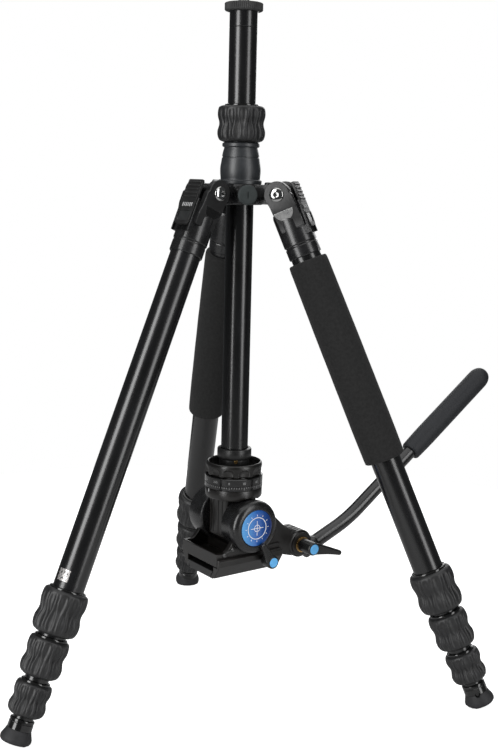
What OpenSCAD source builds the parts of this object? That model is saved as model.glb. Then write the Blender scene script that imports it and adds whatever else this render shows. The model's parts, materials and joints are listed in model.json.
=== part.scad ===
// Four-section travel tripod on spread legs, with its centre column reversed so that a small
// fluid pan head hangs between the legs. Millimetres, +Z up, floor at z = 0, column on the Z axis.

/* [Stance] */
// Angle of each leg from vertical
leg_angle = 24; // [22:1:26]
// Distance from a leg hinge to the sole of its foot, along the leg
leg_reach = 456; // [450:1:462]
// Distance of the leg hinges from the column axis
hinge_radius = 36; // [35:0.5:38]

/* [Tubes] */
// Outer diameter of the thickest leg section
tube_d = 25; // [25:0.5:25.5]
// Step in diameter from one leg section to the next
tube_step = 3; // [3:0.1:3.2]
// Wall thickness of the leg sections
tube_wall = 1.25; // [1.2:0.05:1.3]
// Outer diameter of the centre column
column_d = 23; // [22:0.5:23]
// Top of the centre column tube above the floor
column_top = 549.3; // [540:0.1:560]

/* [Twist locks] */
// Largest diameter of the three twist locks, from the top one down
lock_1_d = 36.8; // [34:0.2:38]
lock_2_d = 32.8; // [30:0.2:34]
lock_3_d = 29.4; // [27:0.2:31]
// Largest diameter of the column's twist lock
column_lock_d = 39.4; // [36:0.2:41]

/* [Head] */
// Direction of the pan handle, anticlockwise from +X
head_azimuth = 22.7; // [15:0.1:30]
// Height of the tilt axis above the floor
tilt_height = 137.2; // [136.8:0.1:137.4]
// Radius of the two tilt drums
drum_r = 23; // [22:0.1:23]
// Distance of the handle joint behind the column axis
boss_u = 57.5; // [56:0.5:60]
// Height of the handle joint above the floor
boss_z = 110.5; // [109.5:0.5:111.5]

/* [Handle] */
// Diameter of the handle tube
handle_d = 12.5; // [12:0.5:13]
// Slope of the handle beside its joint
handle_slope_a = 22.5; // [20:0.5:25]
// Slope of the handle after its bend
handle_slope_b = 36; // [34:0.5:38]
// Diameter of the handle grip
grip_d = 20; // [18:0.5:22]
// Length of the handle grip
grip_length = 117; // [100:1:118]

/* [Hidden] */

$fn = 96;
e = 0.01;          // overlap that keeps cuts clean
running = 0.05;    // radial clearance of a running fit
seat = 0.03;       // radial clearance of two pieces fixed together
guide = 0.1;       // radial clearance of a sliding tube

left_az = 210;
right_az = 330;
rear_az = 90;
hinge_z = leg_reach * cos(leg_angle);

// Leg: distances from the hinge down the leg, positive towards the foot
fork_depth = 11.5;
fork_half_w = 16;
tongue_half_w = 10;
tongue_r = 8.4;
hinge_bolt_r = 3;
socket_end = 54;
tab_x = 13.2;
tab_half_w = 9;
tube_1_top = 32;
lock_1_top = 333;
lock_1_end = 369;
lock_2_top = 371;
lock_2_end = 402.5;
lock_3_top = 406;
lock_3_end = 433.5;
foot_top = 436;
inner_top = 62;
inner_step = 6;
bushing_h = 18;
lip_h = 5;
foam_top = 58;
foam_end = 234;
foam_r = 17.4;

tube_1_r = tube_d / 2;
tube_2_r = tube_1_r - tube_step / 2;
tube_3_r = tube_2_r - tube_step / 2;
tube_4_r = tube_3_r - tube_step / 2;

column_r = column_d / 2;
column_wall = 1.5;
collar_base = 424.3;
collar_r = 17.8;
port_z = 415.9;
port_r = 8.2;
collar_top = 458.2;
column_lock_base = 459;
column_lock_top = 487.5;
disc_z = 562;
disc_h = 7;
disc_r = 15.6;
stud_r = 4.76;
stud_h = 9;
stud_root_r = 4.3;
stud_root_h = 4.9;
thread_gap = 0.3;    // recess round the root of a thread, so that what is screwed on seats flat
recess_h = 0.8;

// Head: z levels from the top of the hanging head downwards
cup_top = 189;
cup_floor = 180.2;
cup_base = 178;
scale_top = 177.8;
scale_base = 167.3;
housing_top = 167;
housing_base = 158;
slab_top = 116.4;
slab_base = 104.9;
jaw_base = 94.4;
plate_top = 100.2;
plate_base = 93.6;
flange_top = 94.2;
slab_half_u = 33.5;
slab_back = -28.4;
slab_front = 25.5;
cheek_front = 26;
tray_wall = 5;
tray_floor = 108.5;
tray_end = -12;
screw_u = [-26, -17.4];
screw_z = [114.7, 118.6];
base_r = 25;
post_r = 20.4;
post_half_u = 15;
housing_clear_r = 23.4;
post_clear_r = 21.1;
post_v0 = -14.5;
post_v1 = 12.5;
left_drum_v0 = -35.5;
left_drum_v1 = -15;
right_drum_v0 = 13;
right_drum_v1 = 36;
spindle_r = 8;
shaft_r = 6;
boss_r = 12.4;
web_inset = 0.6;
web_end_r = 1;
lever_u = 15.4;
lever_z = 105.2;
hub_v0 = 13.3;
hub_v1 = 25.5;
handle_v = 19.6;
handle_drop = 10.6;
spigot_r = 7.9;
spigot_end = 21;
bend_u = 115;
bend_r = 130;
bend_lap = 0.5;     // how far the straight tubes run into the bend
bend_z = boss_z - handle_drop + (bend_u - boss_u) * tan(handle_slope_a);
bend_turn = handle_slope_b - handle_slope_a;
bend_tangent = bend_r * tan(bend_turn / 2);
tube_start = 9.1;
grip_start = 91.5;
grip_bore = 82;
pan_lock_turn = 57;
pan_lock_r = 4.4;
pan_lock_z = 162.4;
screw_r = 3.175;
screw_root_r = 2.9;
screw_h = 4.8;

// ---------------------------------------------------------------- frames of reference

// Leg frame: hinge at the origin, +Z up the leg, +X away from the column
module on_leg(azimuth) {
    rotate([0, 0, azimuth])
        translate([hinge_radius, 0, hinge_z])
            rotate([0, -leg_angle, 0])
                children();
}

// Ring about the leg from distance a to distance b below the hinge
module leg_ring(a, b, outer, inner) {
    translate([0, 0, -b])
        difference() {
            cylinder(r = outer, h = b - a);
            translate([0, 0, -1])
                cylinder(r = inner, h = b - a + 2);
        }
}

// Head frame: +X along the handle, -Y along the tilt axis towards the badge (called v)
module on_head() {
    rotate([0, 0, head_azimuth])
        children();
}

// Drawing plane of the head at v: x stays along the handle, y is height, z is along v
module at_v(v) {
    on_head()
        translate([0, -v, 0])
            rotate([90, 0, 0])
                children();
}

// Cylinder along v from v0 to v1 at a place in the drawing plane
module v_rod(u, z, v0, v1, r) {
    at_v(v0)
        translate([u, z, 0])
            cylinder(r = r, h = v1 - v0);
}

// Cylinder along v whose two rims are chamfered by c
module v_drum(u, z, v0, v1, r, c) {
    at_v(v0)
        translate([u, z, 0])
            rotate_extrude()
                polygon([[0, 0], [r - c, 0], [r, c], [r, v1 - v0 - c], [r - c, v1 - v0], [0, v1 - v0]]);
}

// Slab of a drawing-plane outline from v0 to v1
module v_plate(v0, v1) {
    at_v(v0)
        linear_extrude(v1 - v0)
            children();
}

// Bar of a (v, z) outline running along the handle direction from u0 to u1
module u_bar(u0, u1) {
    on_head()
        translate([u1, 0, 0])
            rotate([0, -90, 0])
                rotate([0, 0, -90])
                    linear_extrude(u1 - u0)
                        children();
}

// ---------------------------------------------------------------- apex and column mounting

module apex_arm(azimuth) {
    rotate([0, 0, azimuth]) {
        translate([0, -tongue_half_w, hinge_z - tongue_r])
            cube([hinge_radius, 2 * tongue_half_w, 2 * tongue_r]);
        translate([hinge_radius, tongue_half_w, hinge_z])
            rotate([90, 0, 0])
                cylinder(r = tongue_r, h = 2 * tongue_half_w);
    }
}

module apex() {
    color([0.05, 0.05, 0.06])
        difference() {
            union() {
                translate([0, 0, 407.5])
                    cylinder(r = 19.8, h = collar_base - 407.5);
                for (azimuth = [left_az, right_az, rear_az])
                    apex_arm(azimuth);
                translate([0, -15, port_z])
                    rotate([90, 0, 0])
                        cylinder(r = port_r, h = 13.5);
            }
            translate([0, 0, 400])
                cylinder(r = column_r + guide, h = 30);
            translate([0, 0, collar_base])
                cylinder(r = collar_r + running, h = 5);
            for (azimuth = [left_az, right_az, rear_az])
                rotate([0, 0, azimuth])
                    translate([hinge_radius, 30, hinge_z])
                        rotate([90, 0, 0])
                            cylinder(r = hinge_bolt_r + seat, h = 60);
            translate([0, -24, port_z])
                rotate([90, 0, 0])
                    cylinder(r = 4.8, h = 10);
        }
}

module port_cap() {
    color([0.16, 0.17, 0.18]) {
        translate([0, -28.5, port_z])
            rotate([90, 0, 0])
                cylinder(r = port_r - 0.1, h = 2.2);
        translate([0, -24.3, port_z])
            rotate([90, 0, 0])
                cylinder(r = 4.7, h = 4.3);
    }
}

// One through bolt for each leg hinge, with a domed head at both ends
module hinge_bolt() {
    half = fork_half_w + 0.15;
    rotate([90, 0, 0]) {
        translate([0, 0, -half - 0.5])
            cylinder(r = hinge_bolt_r, h = 2 * half + 1);
        for (side = [0, 1])
            mirror([0, 0, side])
                translate([0, 0, half])
                    rotate_extrude()
                        polygon([[0, 0], [5.9, 0], [5.9, 0.9], [5.2, 1.6], [3.4, 2.1], [0, 2.3]]);
    }
}

module hinge_bolts() {
    color([0.8, 0.8, 0.78])
        for (azimuth = [left_az, right_az, rear_az])
            rotate([0, 0, azimuth])
                translate([hinge_radius, 0, hinge_z])
                    hinge_bolt();
}

module column_collar() {
    color([0.1, 0.1, 0.11])
        rotate_extrude()
            polygon([
                [column_r + guide, collar_base], [collar_r, collar_base], [collar_r, 427.6], [16.4, 428],
                [16.7, 431], [16.8, 436], [16.4, 441], [15.6, 445.4], [15.2, 446.2],
                [14.6, 450], [14.3, 453], [14.3, collar_top], [column_r + guide, collar_top]
            ]);
}

// Outline of a two-lobed grip between radii of its bore and its lobes
module lock_outline(h, r) {
    waist = r - 1.3;
    polygon([
        [r - 5, 0], [r - 3, 0.6], [r - 1.2, 2.2], [r - 0.2, 0.17 * h], [r, 0.27 * h],
        [r - 0.4, 0.38 * h], [waist, 0.5 * h], [r - 0.4, 0.62 * h], [r, 0.74 * h],
        [r - 0.2, 0.84 * h], [r - 1.2, h - 2.2], [r - 3, h - 0.6], [r - 5, h]
    ]);
}

module column_lock() {
    h = column_lock_top - column_lock_base;
    color([0.13, 0.13, 0.14])
        translate([0, 0, column_lock_base])
            difference() {
                rotate_extrude() {
                    lock_outline(h, column_lock_d / 2);
                    square([column_lock_d / 2 - 4.9, h]);
                }
                translate([0, 0, -1])
                    cylinder(r = column_r + guide, h = h + 2);
            }
}

// ---------------------------------------------------------------- centre column

module centre_column() {
    color([0.04, 0.04, 0.05])
        translate([0, 0, 184])
            difference() {
                cylinder(r = column_r, h = column_top - 184);
                translate([0, 0, -1])
                    cylinder(r = column_r - column_wall, h = column_top - 182);
            }
}

module top_disc() {
    color([0.12, 0.12, 0.12]) {
        translate([0, 0, disc_z])
            difference() {
                cylinder(r = disc_r, h = disc_h);
                translate([0, 0, disc_h - stud_root_h - 0.1])
                    cylinder(r = stud_root_r + seat, h = 6);
                translate([0, 0, disc_h - recess_h])
                    cylinder(r = stud_r + thread_gap, h = recess_h + 1);
            }
        translate([0, 0, column_top + 0.1])
            cylinder(r = column_r, h = disc_z - column_top);
        translate([0, 0, column_top - 18])
            cylinder(r = column_r - column_wall - seat, h = 19);
    }
}

module top_stud() {
    color([0.75, 0.75, 0.76])
        translate([0, 0, disc_z + disc_h]) {
            cylinder(r = stud_r, h = stud_h);
            translate([0, 0, -stud_root_h])
                cylinder(r = stud_root_r, h = stud_root_h + 1);
        }
}

module column_foot() {
    color([0.06, 0.06, 0.07])
        difference() {
            union() {
                translate([0, 0, 192])
                    cylinder(r = 14.7, h = 8.5);
                translate([0, 0, cup_floor + 0.05])
                    cylinder(r = 13.2, h = 12);
            }
            translate([0, 0, 184 - 0.1])
                cylinder(r = column_r + seat, h = 20);
        }
}

// ---------------------------------------------------------------- head base and pan

module head_base_ring() {
    color([0.09, 0.085, 0.08])
        rotate_extrude()
            polygon([
                [0, cup_base], [23.2, cup_base], [24.15, cup_base + 1.2], [24.15, cup_top - 1.5],
                [23, cup_top], [21.8, cup_top], [21.4, cup_top - 0.8], [21.4, cup_floor], [0, cup_floor]
            ]);
}

module scale_ring() {
    color([0.06, 0.06, 0.06])
        rotate_extrude()
            polygon([
                [spindle_r + running, scale_base], [base_r, scale_base], [base_r, scale_top - 0.6],
                [base_r - 0.6, scale_top], [spindle_r + running, scale_top]
            ]);
}

module pan_lock_place() {
    on_head()
        rotate([0, 0, pan_lock_turn])
            translate([0, 0, pan_lock_z])
                rotate([0, 90, 0])
                    children();
}

// Flat-sided post that carries the tilt shaft
module post_outline() {
    intersection() {
        translate([0, tilt_height])
            circle(r = post_r);
        translate([-post_half_u, tilt_height - post_r])
            square([2 * post_half_u, 2 * post_r]);
    }
    translate([-post_half_u, tilt_height])
        square([2 * post_half_u, housing_base + 6 - tilt_height]);
}

module pan_housing() {
    color([0.08, 0.075, 0.07])
        difference() {
            union() {
                difference() {
                    translate([0, 0, housing_base])
                        cylinder(r = base_r - 0.4, h = housing_top - housing_base);
                    v_rod(0, tilt_height, -26, 26, housing_clear_r);
                }
                translate([0, 0, housing_base + 3])
                    cylinder(r = spindle_r, h = 177 - housing_base - 3);
                v_plate(post_v0, post_v1)
                    post_outline();
                pan_lock_place()
                    translate([0, 0, 20])
                        cylinder(r = pan_lock_r, h = 10.8);
            }
            v_rod(0, tilt_height, -40, 40, shaft_r + running);
            pan_lock_place()
                translate([0, 0, 24])
                    cylinder(r = 2 + running, h = 8);
        }
}

// Wing of a clamping lever in its own plane: hub at the origin, tip along +X
module wing(length, root_w, tip_w, t) {
    linear_extrude(t) {
        polygon([
            [0, -root_w / 2], [length - tip_w / 2, -tip_w / 2],
            [length - tip_w / 2, tip_w / 2], [0, root_w / 2]
        ]);
        translate([length - tip_w / 2, 0])
            circle(d = tip_w);
    }
}

module pan_lock() {
    color([0.05, 0.05, 0.05])
        pan_lock_place() {
            translate([0, 0, 24.5])
                cylinder(r = 2, h = 7);
            translate([0, 0, 31])
                cylinder(r = 6, h = 11);
            translate([0, 0, 35])
                rotate([0, 0, 115])
                    mirror([0, 1, 0])
                        wing(20, 9, 5, 6);
        }
}

// ---------------------------------------------------------------- tilt body and clamp

// Outline of the web, from just inside the rim of the drum to the middle of the handle boss on top
// and to just inside the boss's rim below
module drum_to_boss() {
    dx = boss_u;
    dz = boss_z - tilt_height;
    span = sqrt(dx * dx + dz * dz);
    line = atan2(dz, dx);
    up = line + acos((drum_r - web_end_r) / span);
    down = line - acos((drum_r - boss_r) / span);
    wide = drum_r - web_inset;
    narrow = boss_r - web_inset;
    polygon([
        [wide * cos(up), tilt_height + wide * sin(up)],
        [wide * cos(down), tilt_height + wide * sin(down)],
        [boss_u + narrow * cos(down), boss_z + narrow * sin(down)],
        [boss_u + web_end_r * cos(up), boss_z + web_end_r * sin(up)]
    ]);
}

// Side wall of the tray where it rises to the drum
module cheek_rise() {
    polygon([
        [-33, 112.6], [-33, 116], [-28.5, 116], [-24.5, 117.4], [-21, 119.4], [-18, 122.5],
        [-16.5, 126], [-10, 126], [-10, 112.6]
    ]);
}

module tilt_body() {
    color([0.07, 0.065, 0.06])
        difference() {
            union() {
                v_drum(0, tilt_height, left_drum_v0, left_drum_v1, drum_r, 1.5);
                v_drum(0, tilt_height, right_drum_v0, right_drum_v1, drum_r, 2);
                difference() {
                    union() {
                        v_plate(0.5, right_drum_v0)
                            drum_to_boss();
                        v_plate(right_drum_v0, 24)
                            drum_to_boss();
                        v_rod(boss_u, boss_z, 0.5, right_drum_v0, boss_r);
                    }
                    u_bar(-slab_half_u - 1, slab_half_u + 1)
                        translate([-1, slab_base - 20])
                            square([27, 20.4]);
                }
                u_bar(-slab_half_u, slab_half_u)
                    polygon([
                        [slab_back, slab_top - 2], [slab_back + 2, slab_top], [slab_front, slab_top],
                        [slab_front, slab_base],
                        [-19.6, slab_base], [-19.6, 99.4], [-16.9, 96.6], [-16.9, jaw_base],
                        [-21, jaw_base], [slab_back, 105]
                    ]);
                v_plate(slab_back - 0.4, slab_back + tray_wall)
                    cheek_rise();
                v_plate(slab_front - tray_wall, cheek_front)
                    cheek_rise();
            }
            v_rod(0, tilt_height, post_v0 - 0.4, post_v1 + 0.4, post_clear_r);
            v_plate(post_v0 - 0.4, post_v1 + 0.4)
                translate([-30, tilt_height])
                    square([54, 40]);
            v_rod(boss_u, boss_z, right_drum_v0 + 0.1, 40, boss_r + 0.5);
            v_rod(0, tilt_height, -31, 34, shaft_r + seat);
            v_rod(boss_u, boss_z, 0, 14, 3 + seat);
            v_rod(0, tilt_height, -36, -30, 3 + running);
            v_rod(0, tilt_height, right_drum_v1 - 1.2, right_drum_v1 + 1, 15.8);
            v_rod(lever_u, lever_z, 20.5, 26, 2.9);
            v_plate(slab_back + tray_wall + 0.4, slab_front - tray_wall - 0.4)
                translate([2 - slab_half_u, tray_floor])
                    square([tray_end + slab_half_u - 2, slab_top - tray_floor + 0.5]);
            for (i = [0, 1])
                v_rod(screw_u[i], screw_z[i], cheek_front - 3, cheek_front + 1, 1.5 + seat);
        }
}

module tilt_shaft() {
    color([0.7, 0.7, 0.7])
        v_rod(0, tilt_height, -30.9, 33.9, shaft_r);
}

module badge() {
    color([0.1, 0.4, 0.8])
        v_rod(0, tilt_height, right_drum_v1 - 1.1, right_drum_v1 + 0.2, 15.6);
}

module tilt_lock() {
    color([0.05, 0.05, 0.05]) {
        v_rod(0, tilt_height, -36, -31, 3);
        v_rod(0, tilt_height, -50, -36, 7);
        at_v(-49)
            translate([0, tilt_height, 0])
                rotate([0, 0, 35])
                    wing(26, 11, 6, 6);
    }
}

module clamp_jaw() {
    color([0.07, 0.065, 0.06])
        difference() {
            u_bar(-slab_half_u, slab_half_u)
                polygon([
                    [19.6, slab_base - 0.2], [25.8, slab_base - 0.2], [25.8, 112], [27.5, 112],
                    [29, 110.5], [29, 106], [27.6, 103.5], [22, jaw_base], [16.9, jaw_base],
                    [16.9, 96.6], [19.6, 99.4]
                ]);
            v_rod(lever_u, lever_z, 15, 40, 2.5 + running);
        }
}

module tray_screws() {
    color([0.75, 0.75, 0.72])
        for (i = [0, 1]) {
            v_rod(screw_u[i], screw_z[i], cheek_front - 2.9, cheek_front + 0.1, 1.5);
            v_rod(screw_u[i], screw_z[i], cheek_front + 0.02, cheek_front + 1, 2.1);
        }
}

module clamp_lever() {
    color([0.04, 0.04, 0.05]) {
        v_rod(lever_u, lever_z, 21, 29.6, 2.5);
        v_rod(lever_u, lever_z, 29.5, 40.8, 5.8);
        at_v(36.4)
            translate([lever_u, lever_z, 0])
                rotate([0, 0, 122])
                    wing(21, 10, 6, 4.2);
    }
}

module release_plate() {
    color([0.08, 0.08, 0.08])
        difference() {
            u_bar(-slab_half_u, slab_half_u)
                polygon([
                    [-19.3, plate_top], [-19.3, 99.6], [-16.6, 96.8], [-16.6, flange_top],
                    [-19, flange_top], [-19, plate_base], [19, plate_base], [19, flange_top],
                    [16.6, flange_top], [16.6, 96.8], [19.3, 99.6], [19.3, plate_top]
                ]);
            translate([0, 0, plate_base - 1])
                cylinder(r = screw_root_r + running, h = 10);
            translate([0, 0, plate_base - 1])
                cylinder(r = screw_r + thread_gap, h = 1 + recess_h);
            translate([0, 0, plate_top - 3])
                cylinder(r = 7 + guide, h = 4);
        }
}

module camera_screw() {
    color([0.75, 0.75, 0.76])
        translate([0, 0, plate_base - screw_h]) {
            cylinder(r = screw_r, h = screw_h);
            cylinder(r = screw_root_r, h = 9);
            translate([0, 0, 8.6 + e])
                cylinder(r = 7, h = 2.4);
        }
}

// ---------------------------------------------------------------- pan handle

// Line of the handle tube beside its joint, +Z along the tube
module on_spigot() {
    at_v(handle_v)
        translate([boss_u, boss_z - handle_drop, 0])
            rotate([0, 0, handle_slope_a])
                rotate([0, 90, 0])
                    children();
}

module handle_hub() {
    color([0.06, 0.06, 0.06])
        difference() {
            union() {
                v_rod(boss_u, boss_z, hub_v0, hub_v1, boss_r);
                on_spigot()
                    translate([0, 0, 6])
                        cylinder(r = spigot_r, h = spigot_end - 6);
            }
            v_rod(boss_u, boss_z, hub_v0 - 9, hub_v0 - 0.05, boss_r + 0.6);
            v_rod(boss_u, boss_z, hub_v1, hub_v1 + 9, boss_r + 0.5);
            v_rod(boss_u, boss_z, hub_v0 - 1, hub_v1 + 1, 3 + seat);
            on_spigot()
                translate([0, 0, tube_start - 0.1])
                    cylinder(r = handle_d / 2 + seat, h = 20);
        }
}

module handle_tube() {
    length_a = (bend_u - boss_u) / cos(handle_slope_a) - bend_tangent - tube_start;
    color([0.04, 0.04, 0.05])
        at_v(handle_v)
            translate([bend_u, bend_z, 0]) {
                rotate([0, 0, handle_slope_a])
                    translate([-bend_tangent - length_a, 0, 0])
                        rotate([0, 90, 0])
                            cylinder(d = handle_d, h = length_a + bend_lap);
                rotate([0, 0, handle_slope_a])
                    translate([-bend_tangent, bend_r, 0])
                        rotate([0, 0, -90])
                            rotate_extrude(angle = bend_turn)
                                translate([bend_r, 0])
                                    circle(d = handle_d + 4 * e);
                rotate([0, 0, handle_slope_b])
                    translate([bend_tangent - bend_lap, 0, 0])
                        rotate([0, 90, 0])
                            cylinder(d = handle_d, h = grip_start + grip_bore - 2 - bend_tangent);
            }
}

module handle_grip() {
    r = grip_d / 2;
    color([0.17, 0.18, 0.2])
        at_v(handle_v)
            translate([bend_u, bend_z, 0])
                rotate([0, 0, handle_slope_b])
                    translate([grip_start, 0, 0])
                        rotate([0, 90, 0])
                            difference() {
                                rotate_extrude()
                                    polygon([
                                        [0, 0], [r - 1.6, 0], [r - 0.8, 0.8], [r - 0.6, 8], [r, 30],
                                        [r, grip_length - 10], [r - 1.4, grip_length - 4.5],
                                        [r - 4, grip_length - 1.2], [r - 7, grip_length], [0, grip_length]
                                    ]);
                                translate([0, 0, -1])
                                    cylinder(r = handle_d / 2 + seat, h = grip_bore);
                            }
}

module handle_washer() {
    color([0.75, 0.55, 0.25])
        difference() {
            v_rod(boss_u, boss_z, hub_v1 + 0.05, hub_v1 + 1.4, 6.9);
            v_rod(boss_u, boss_z, hub_v1 - 1, hub_v1 + 3, 3 + guide);
        }
}

module handle_lever() {
    color([0.04, 0.04, 0.05]) {
        v_rod(boss_u, boss_z, 4, hub_v1 + 1.6, 3);
        v_rod(boss_u, boss_z, hub_v1 + 1.5, 43.5, 5.9);
        at_v(36.5)
            translate([boss_u, boss_z, 0])
                rotate([0, 0, -16])
                    wing(34, 11.5, 5, 6);
    }
}

// ---------------------------------------------------------------- leg pieces in the leg frame

module cheek_outline() {
    circle(r = 11);
    translate([-8.5, -30])
        square([20.5, 30]);
}

module shoulder() {
    color([0.05, 0.05, 0.06])
        difference() {
            union() {
                intersection() {
                    translate([0, fork_half_w, 0])
                        rotate([90, 0, 0])
                            linear_extrude(2 * fork_half_w)
                                cheek_outline();
                    translate([-20, 0, 0])
                        rotate([90, 0, 90])
                            linear_extrude(40)
                                polygon([
                                    [-fork_half_w, 12], [fork_half_w, 12], [fork_half_w, -14],
                                    [13.4, -23], [13.4, -31], [-13.4, -31], [-13.4, -23],
                                    [-fork_half_w, -14]
                                ]);
                }
                leg_ring(16, 44, 14.2, 1);
                leg_ring(43, 45, 13.2, 12);
                leg_ring(44.6, socket_end, 13.8, 12);
                translate([0, -10.5, -38])
                    cube([14.3, 21, 38 - fork_depth]);
            }
            translate([-20, -tongue_half_w - 0.3, -fork_depth])
                cube([40, 2 * tongue_half_w + 0.6, 30]);
            translate([0, 20, 0])
                rotate([90, 0, 0])
                    cylinder(r = hinge_bolt_r + running, h = 40);
            translate([0, 0, -60])
                cylinder(r = tube_1_r + seat, h = 60 - tube_1_top + 0.5);
            translate([0, 0, -40])
                cylinder(r = 1, h = 40);
            translate([tab_x - 0.2, -tab_half_w - 0.3, -socket_end - 1])
                cube([6, 2 * tab_half_w + 0.6, socket_end + 1]);
        }
}

// Tab that slides in the channel on the outer side of the shoulder
module angle_tab() {
    color([0.07, 0.07, 0.07])
        translate([tab_x, tab_half_w, 0])
            rotate([90, 0, 0])
                difference() {
                    linear_extrude(2 * tab_half_w)
                        polygon([
                            [0, -33.5], [0, 5.5], [1.2, 5.5], [2.7, 3], [2.7, -12.5], [1.9, -13.5],
                            [1.9, -25.5], [2.6, -26.5], [2.6, -33.5]
                        ]);
                    for (z = [-9.5, -5.5, -1.5])
                        translate([2.1, z, -1])
                            cube([2, 1.4, 20]);
                }
}

module foam() {
    color([0.15, 0.15, 0.15])
        rotate_extrude()
            polygon([
                [tube_1_r + seat, -foam_top], [foam_r - 2, -foam_top], [foam_r - 1, -foam_top - 1.5],
                [foam_r, -147], [foam_r - 0.4, -foam_end + 1.5], [foam_r - 1.4, -foam_end],
                [tube_1_r + seat, -foam_end]
            ]);
}

module leg_tube(a, b, r) {
    leg_ring(a, b, r, r - tube_wall);
}

// Inner leg section with its guide bushing at the top
module inner_tube(a, b, r) {
    color([0.04, 0.04, 0.05]) {
        leg_tube(a, b, r);
        leg_ring(a, a + bushing_h, r + tube_step / 2 - tube_wall - running, r - e);
    }
}

module tube_1() {
    color([0.04, 0.04, 0.05])
        leg_tube(tube_1_top, lock_1_end - lip_h - 0.5, tube_1_r);
}

// Twist lock round the end of a tube of radius r, with a lip close to the next tube
module twist_lock(a, b, d, r) {
    color([0.13, 0.13, 0.14])
        translate([0, 0, -b])
            difference() {
                rotate_extrude() {
                    lock_outline(b - a, d / 2);
                    square([d / 2 - 4.9, b - a]);
                }
                translate([0, 0, lip_h])
                    cylinder(r = r + guide, h = b - a);
                translate([0, 0, -1])
                    cylinder(r = r - tube_step / 2 + guide, h = b - a);
            }
}

module foot(azimuth) {
    color([0.13, 0.13, 0.14])
        difference() {
            on_leg(azimuth)
                difference() {
                    rotate_extrude()
                        polygon([
                            [0, -foot_top], [9, -foot_top], [9.7, -foot_top - 0.7], [9.8, -444.5],
                            [10.6, -447.5], [12, -450.5], [12.4, -452], [12.2, -453.6], [11, -454.9], [0, -455.2]
                        ]);
                    translate([0, 0, -448])
                        cylinder(r = tube_4_r + seat, h = 20);
                }
            translate([-400, -400, -40])
                cube([800, 800, 40]);
        }
}

module lock_1() {
    twist_lock(lock_1_top, lock_1_end, lock_1_d, tube_1_r);
}

module lock_2() {
    twist_lock(lock_2_top, lock_2_end, lock_2_d, tube_2_r);
}

module lock_3() {
    twist_lock(lock_3_top, lock_3_end, lock_3_d, tube_3_r);
}

module tube_2() {
    inner_tube(inner_top, lock_2_end - lip_h - 0.5, tube_2_r);
}

module tube_3() {
    inner_tube(inner_top + inner_step, lock_3_end - lip_h - 0.5, tube_3_r);
}

module tube_4() {
    inner_tube(inner_top + 2 * inner_step, 447.9, tube_4_r);
}

// ---------------------------------------------------------------- the three legs

module left_shoulder() { on_leg(left_az) shoulder(); }
module left_angle_tab() { on_leg(left_az) angle_tab(); }
module left_tube_1() { on_leg(left_az) tube_1(); }
module left_lock_1() { on_leg(left_az) lock_1(); }
module left_tube_2() { on_leg(left_az) tube_2(); }
module left_lock_2() { on_leg(left_az) lock_2(); }
module left_tube_3() { on_leg(left_az) tube_3(); }
module left_lock_3() { on_leg(left_az) lock_3(); }
module left_tube_4() { on_leg(left_az) tube_4(); }
module left_foot() { foot(left_az); }

module right_shoulder() { on_leg(right_az) shoulder(); }
module right_angle_tab() { on_leg(right_az) angle_tab(); }
module right_foam() { on_leg(right_az) foam(); }
module right_tube_1() { on_leg(right_az) tube_1(); }
module right_lock_1() { on_leg(right_az) lock_1(); }
module right_tube_2() { on_leg(right_az) tube_2(); }
module right_lock_2() { on_leg(right_az) lock_2(); }
module right_tube_3() { on_leg(right_az) tube_3(); }
module right_lock_3() { on_leg(right_az) lock_3(); }
module right_tube_4() { on_leg(right_az) tube_4(); }
module right_foot() { foot(right_az); }

module rear_shoulder() { on_leg(rear_az) shoulder(); }
module rear_angle_tab() { on_leg(rear_az) angle_tab(); }
module rear_foam() { on_leg(rear_az) foam(); }
module rear_tube_1() { on_leg(rear_az) tube_1(); }
module rear_lock_1() { on_leg(rear_az) lock_1(); }
module rear_tube_2() { on_leg(rear_az) tube_2(); }
module rear_lock_2() { on_leg(rear_az) lock_2(); }
module rear_tube_3() { on_leg(rear_az) tube_3(); }
module rear_lock_3() { on_leg(rear_az) lock_3(); }
module rear_tube_4() { on_leg(rear_az) tube_4(); }
module rear_foot() { foot(rear_az); }

apex();
port_cap();
hinge_bolts();
column_collar();
column_lock();
centre_column();
top_disc();
top_stud();
column_foot();
head_base_ring();
scale_ring();
pan_housing();
pan_lock();
tilt_body();
tilt_shaft();
tilt_lock();
badge();
clamp_jaw();
tray_screws();
clamp_lever();
release_plate();
camera_screw();
handle_hub();
handle_tube();
handle_grip();
handle_washer();
handle_lever();
left_shoulder();
left_angle_tab();
left_tube_1();
left_lock_1();
left_tube_2();
left_lock_2();
left_tube_3();
left_lock_3();
left_tube_4();
left_foot();
right_shoulder();
right_angle_tab();
right_foam();
right_tube_1();
right_lock_1();
right_tube_2();
right_lock_2();
right_tube_3();
right_lock_3();
right_tube_4();
right_foot();
rear_shoulder();
rear_angle_tab();
rear_foam();
rear_tube_1();
rear_lock_1();
rear_tube_2();
rear_lock_2();
rear_tube_3();
rear_lock_3();
rear_tube_4();
rear_foot();
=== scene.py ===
"""Looks of a travel tripod whose reversed column carries a small fluid head between the legs.

Shapes are worked out in millimetres in a local frame (a leg, the head or the column) and stored in metres.
"""
import json
import math

import bmesh
import bpy
from mathutils import Matrix, Vector, noise


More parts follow.
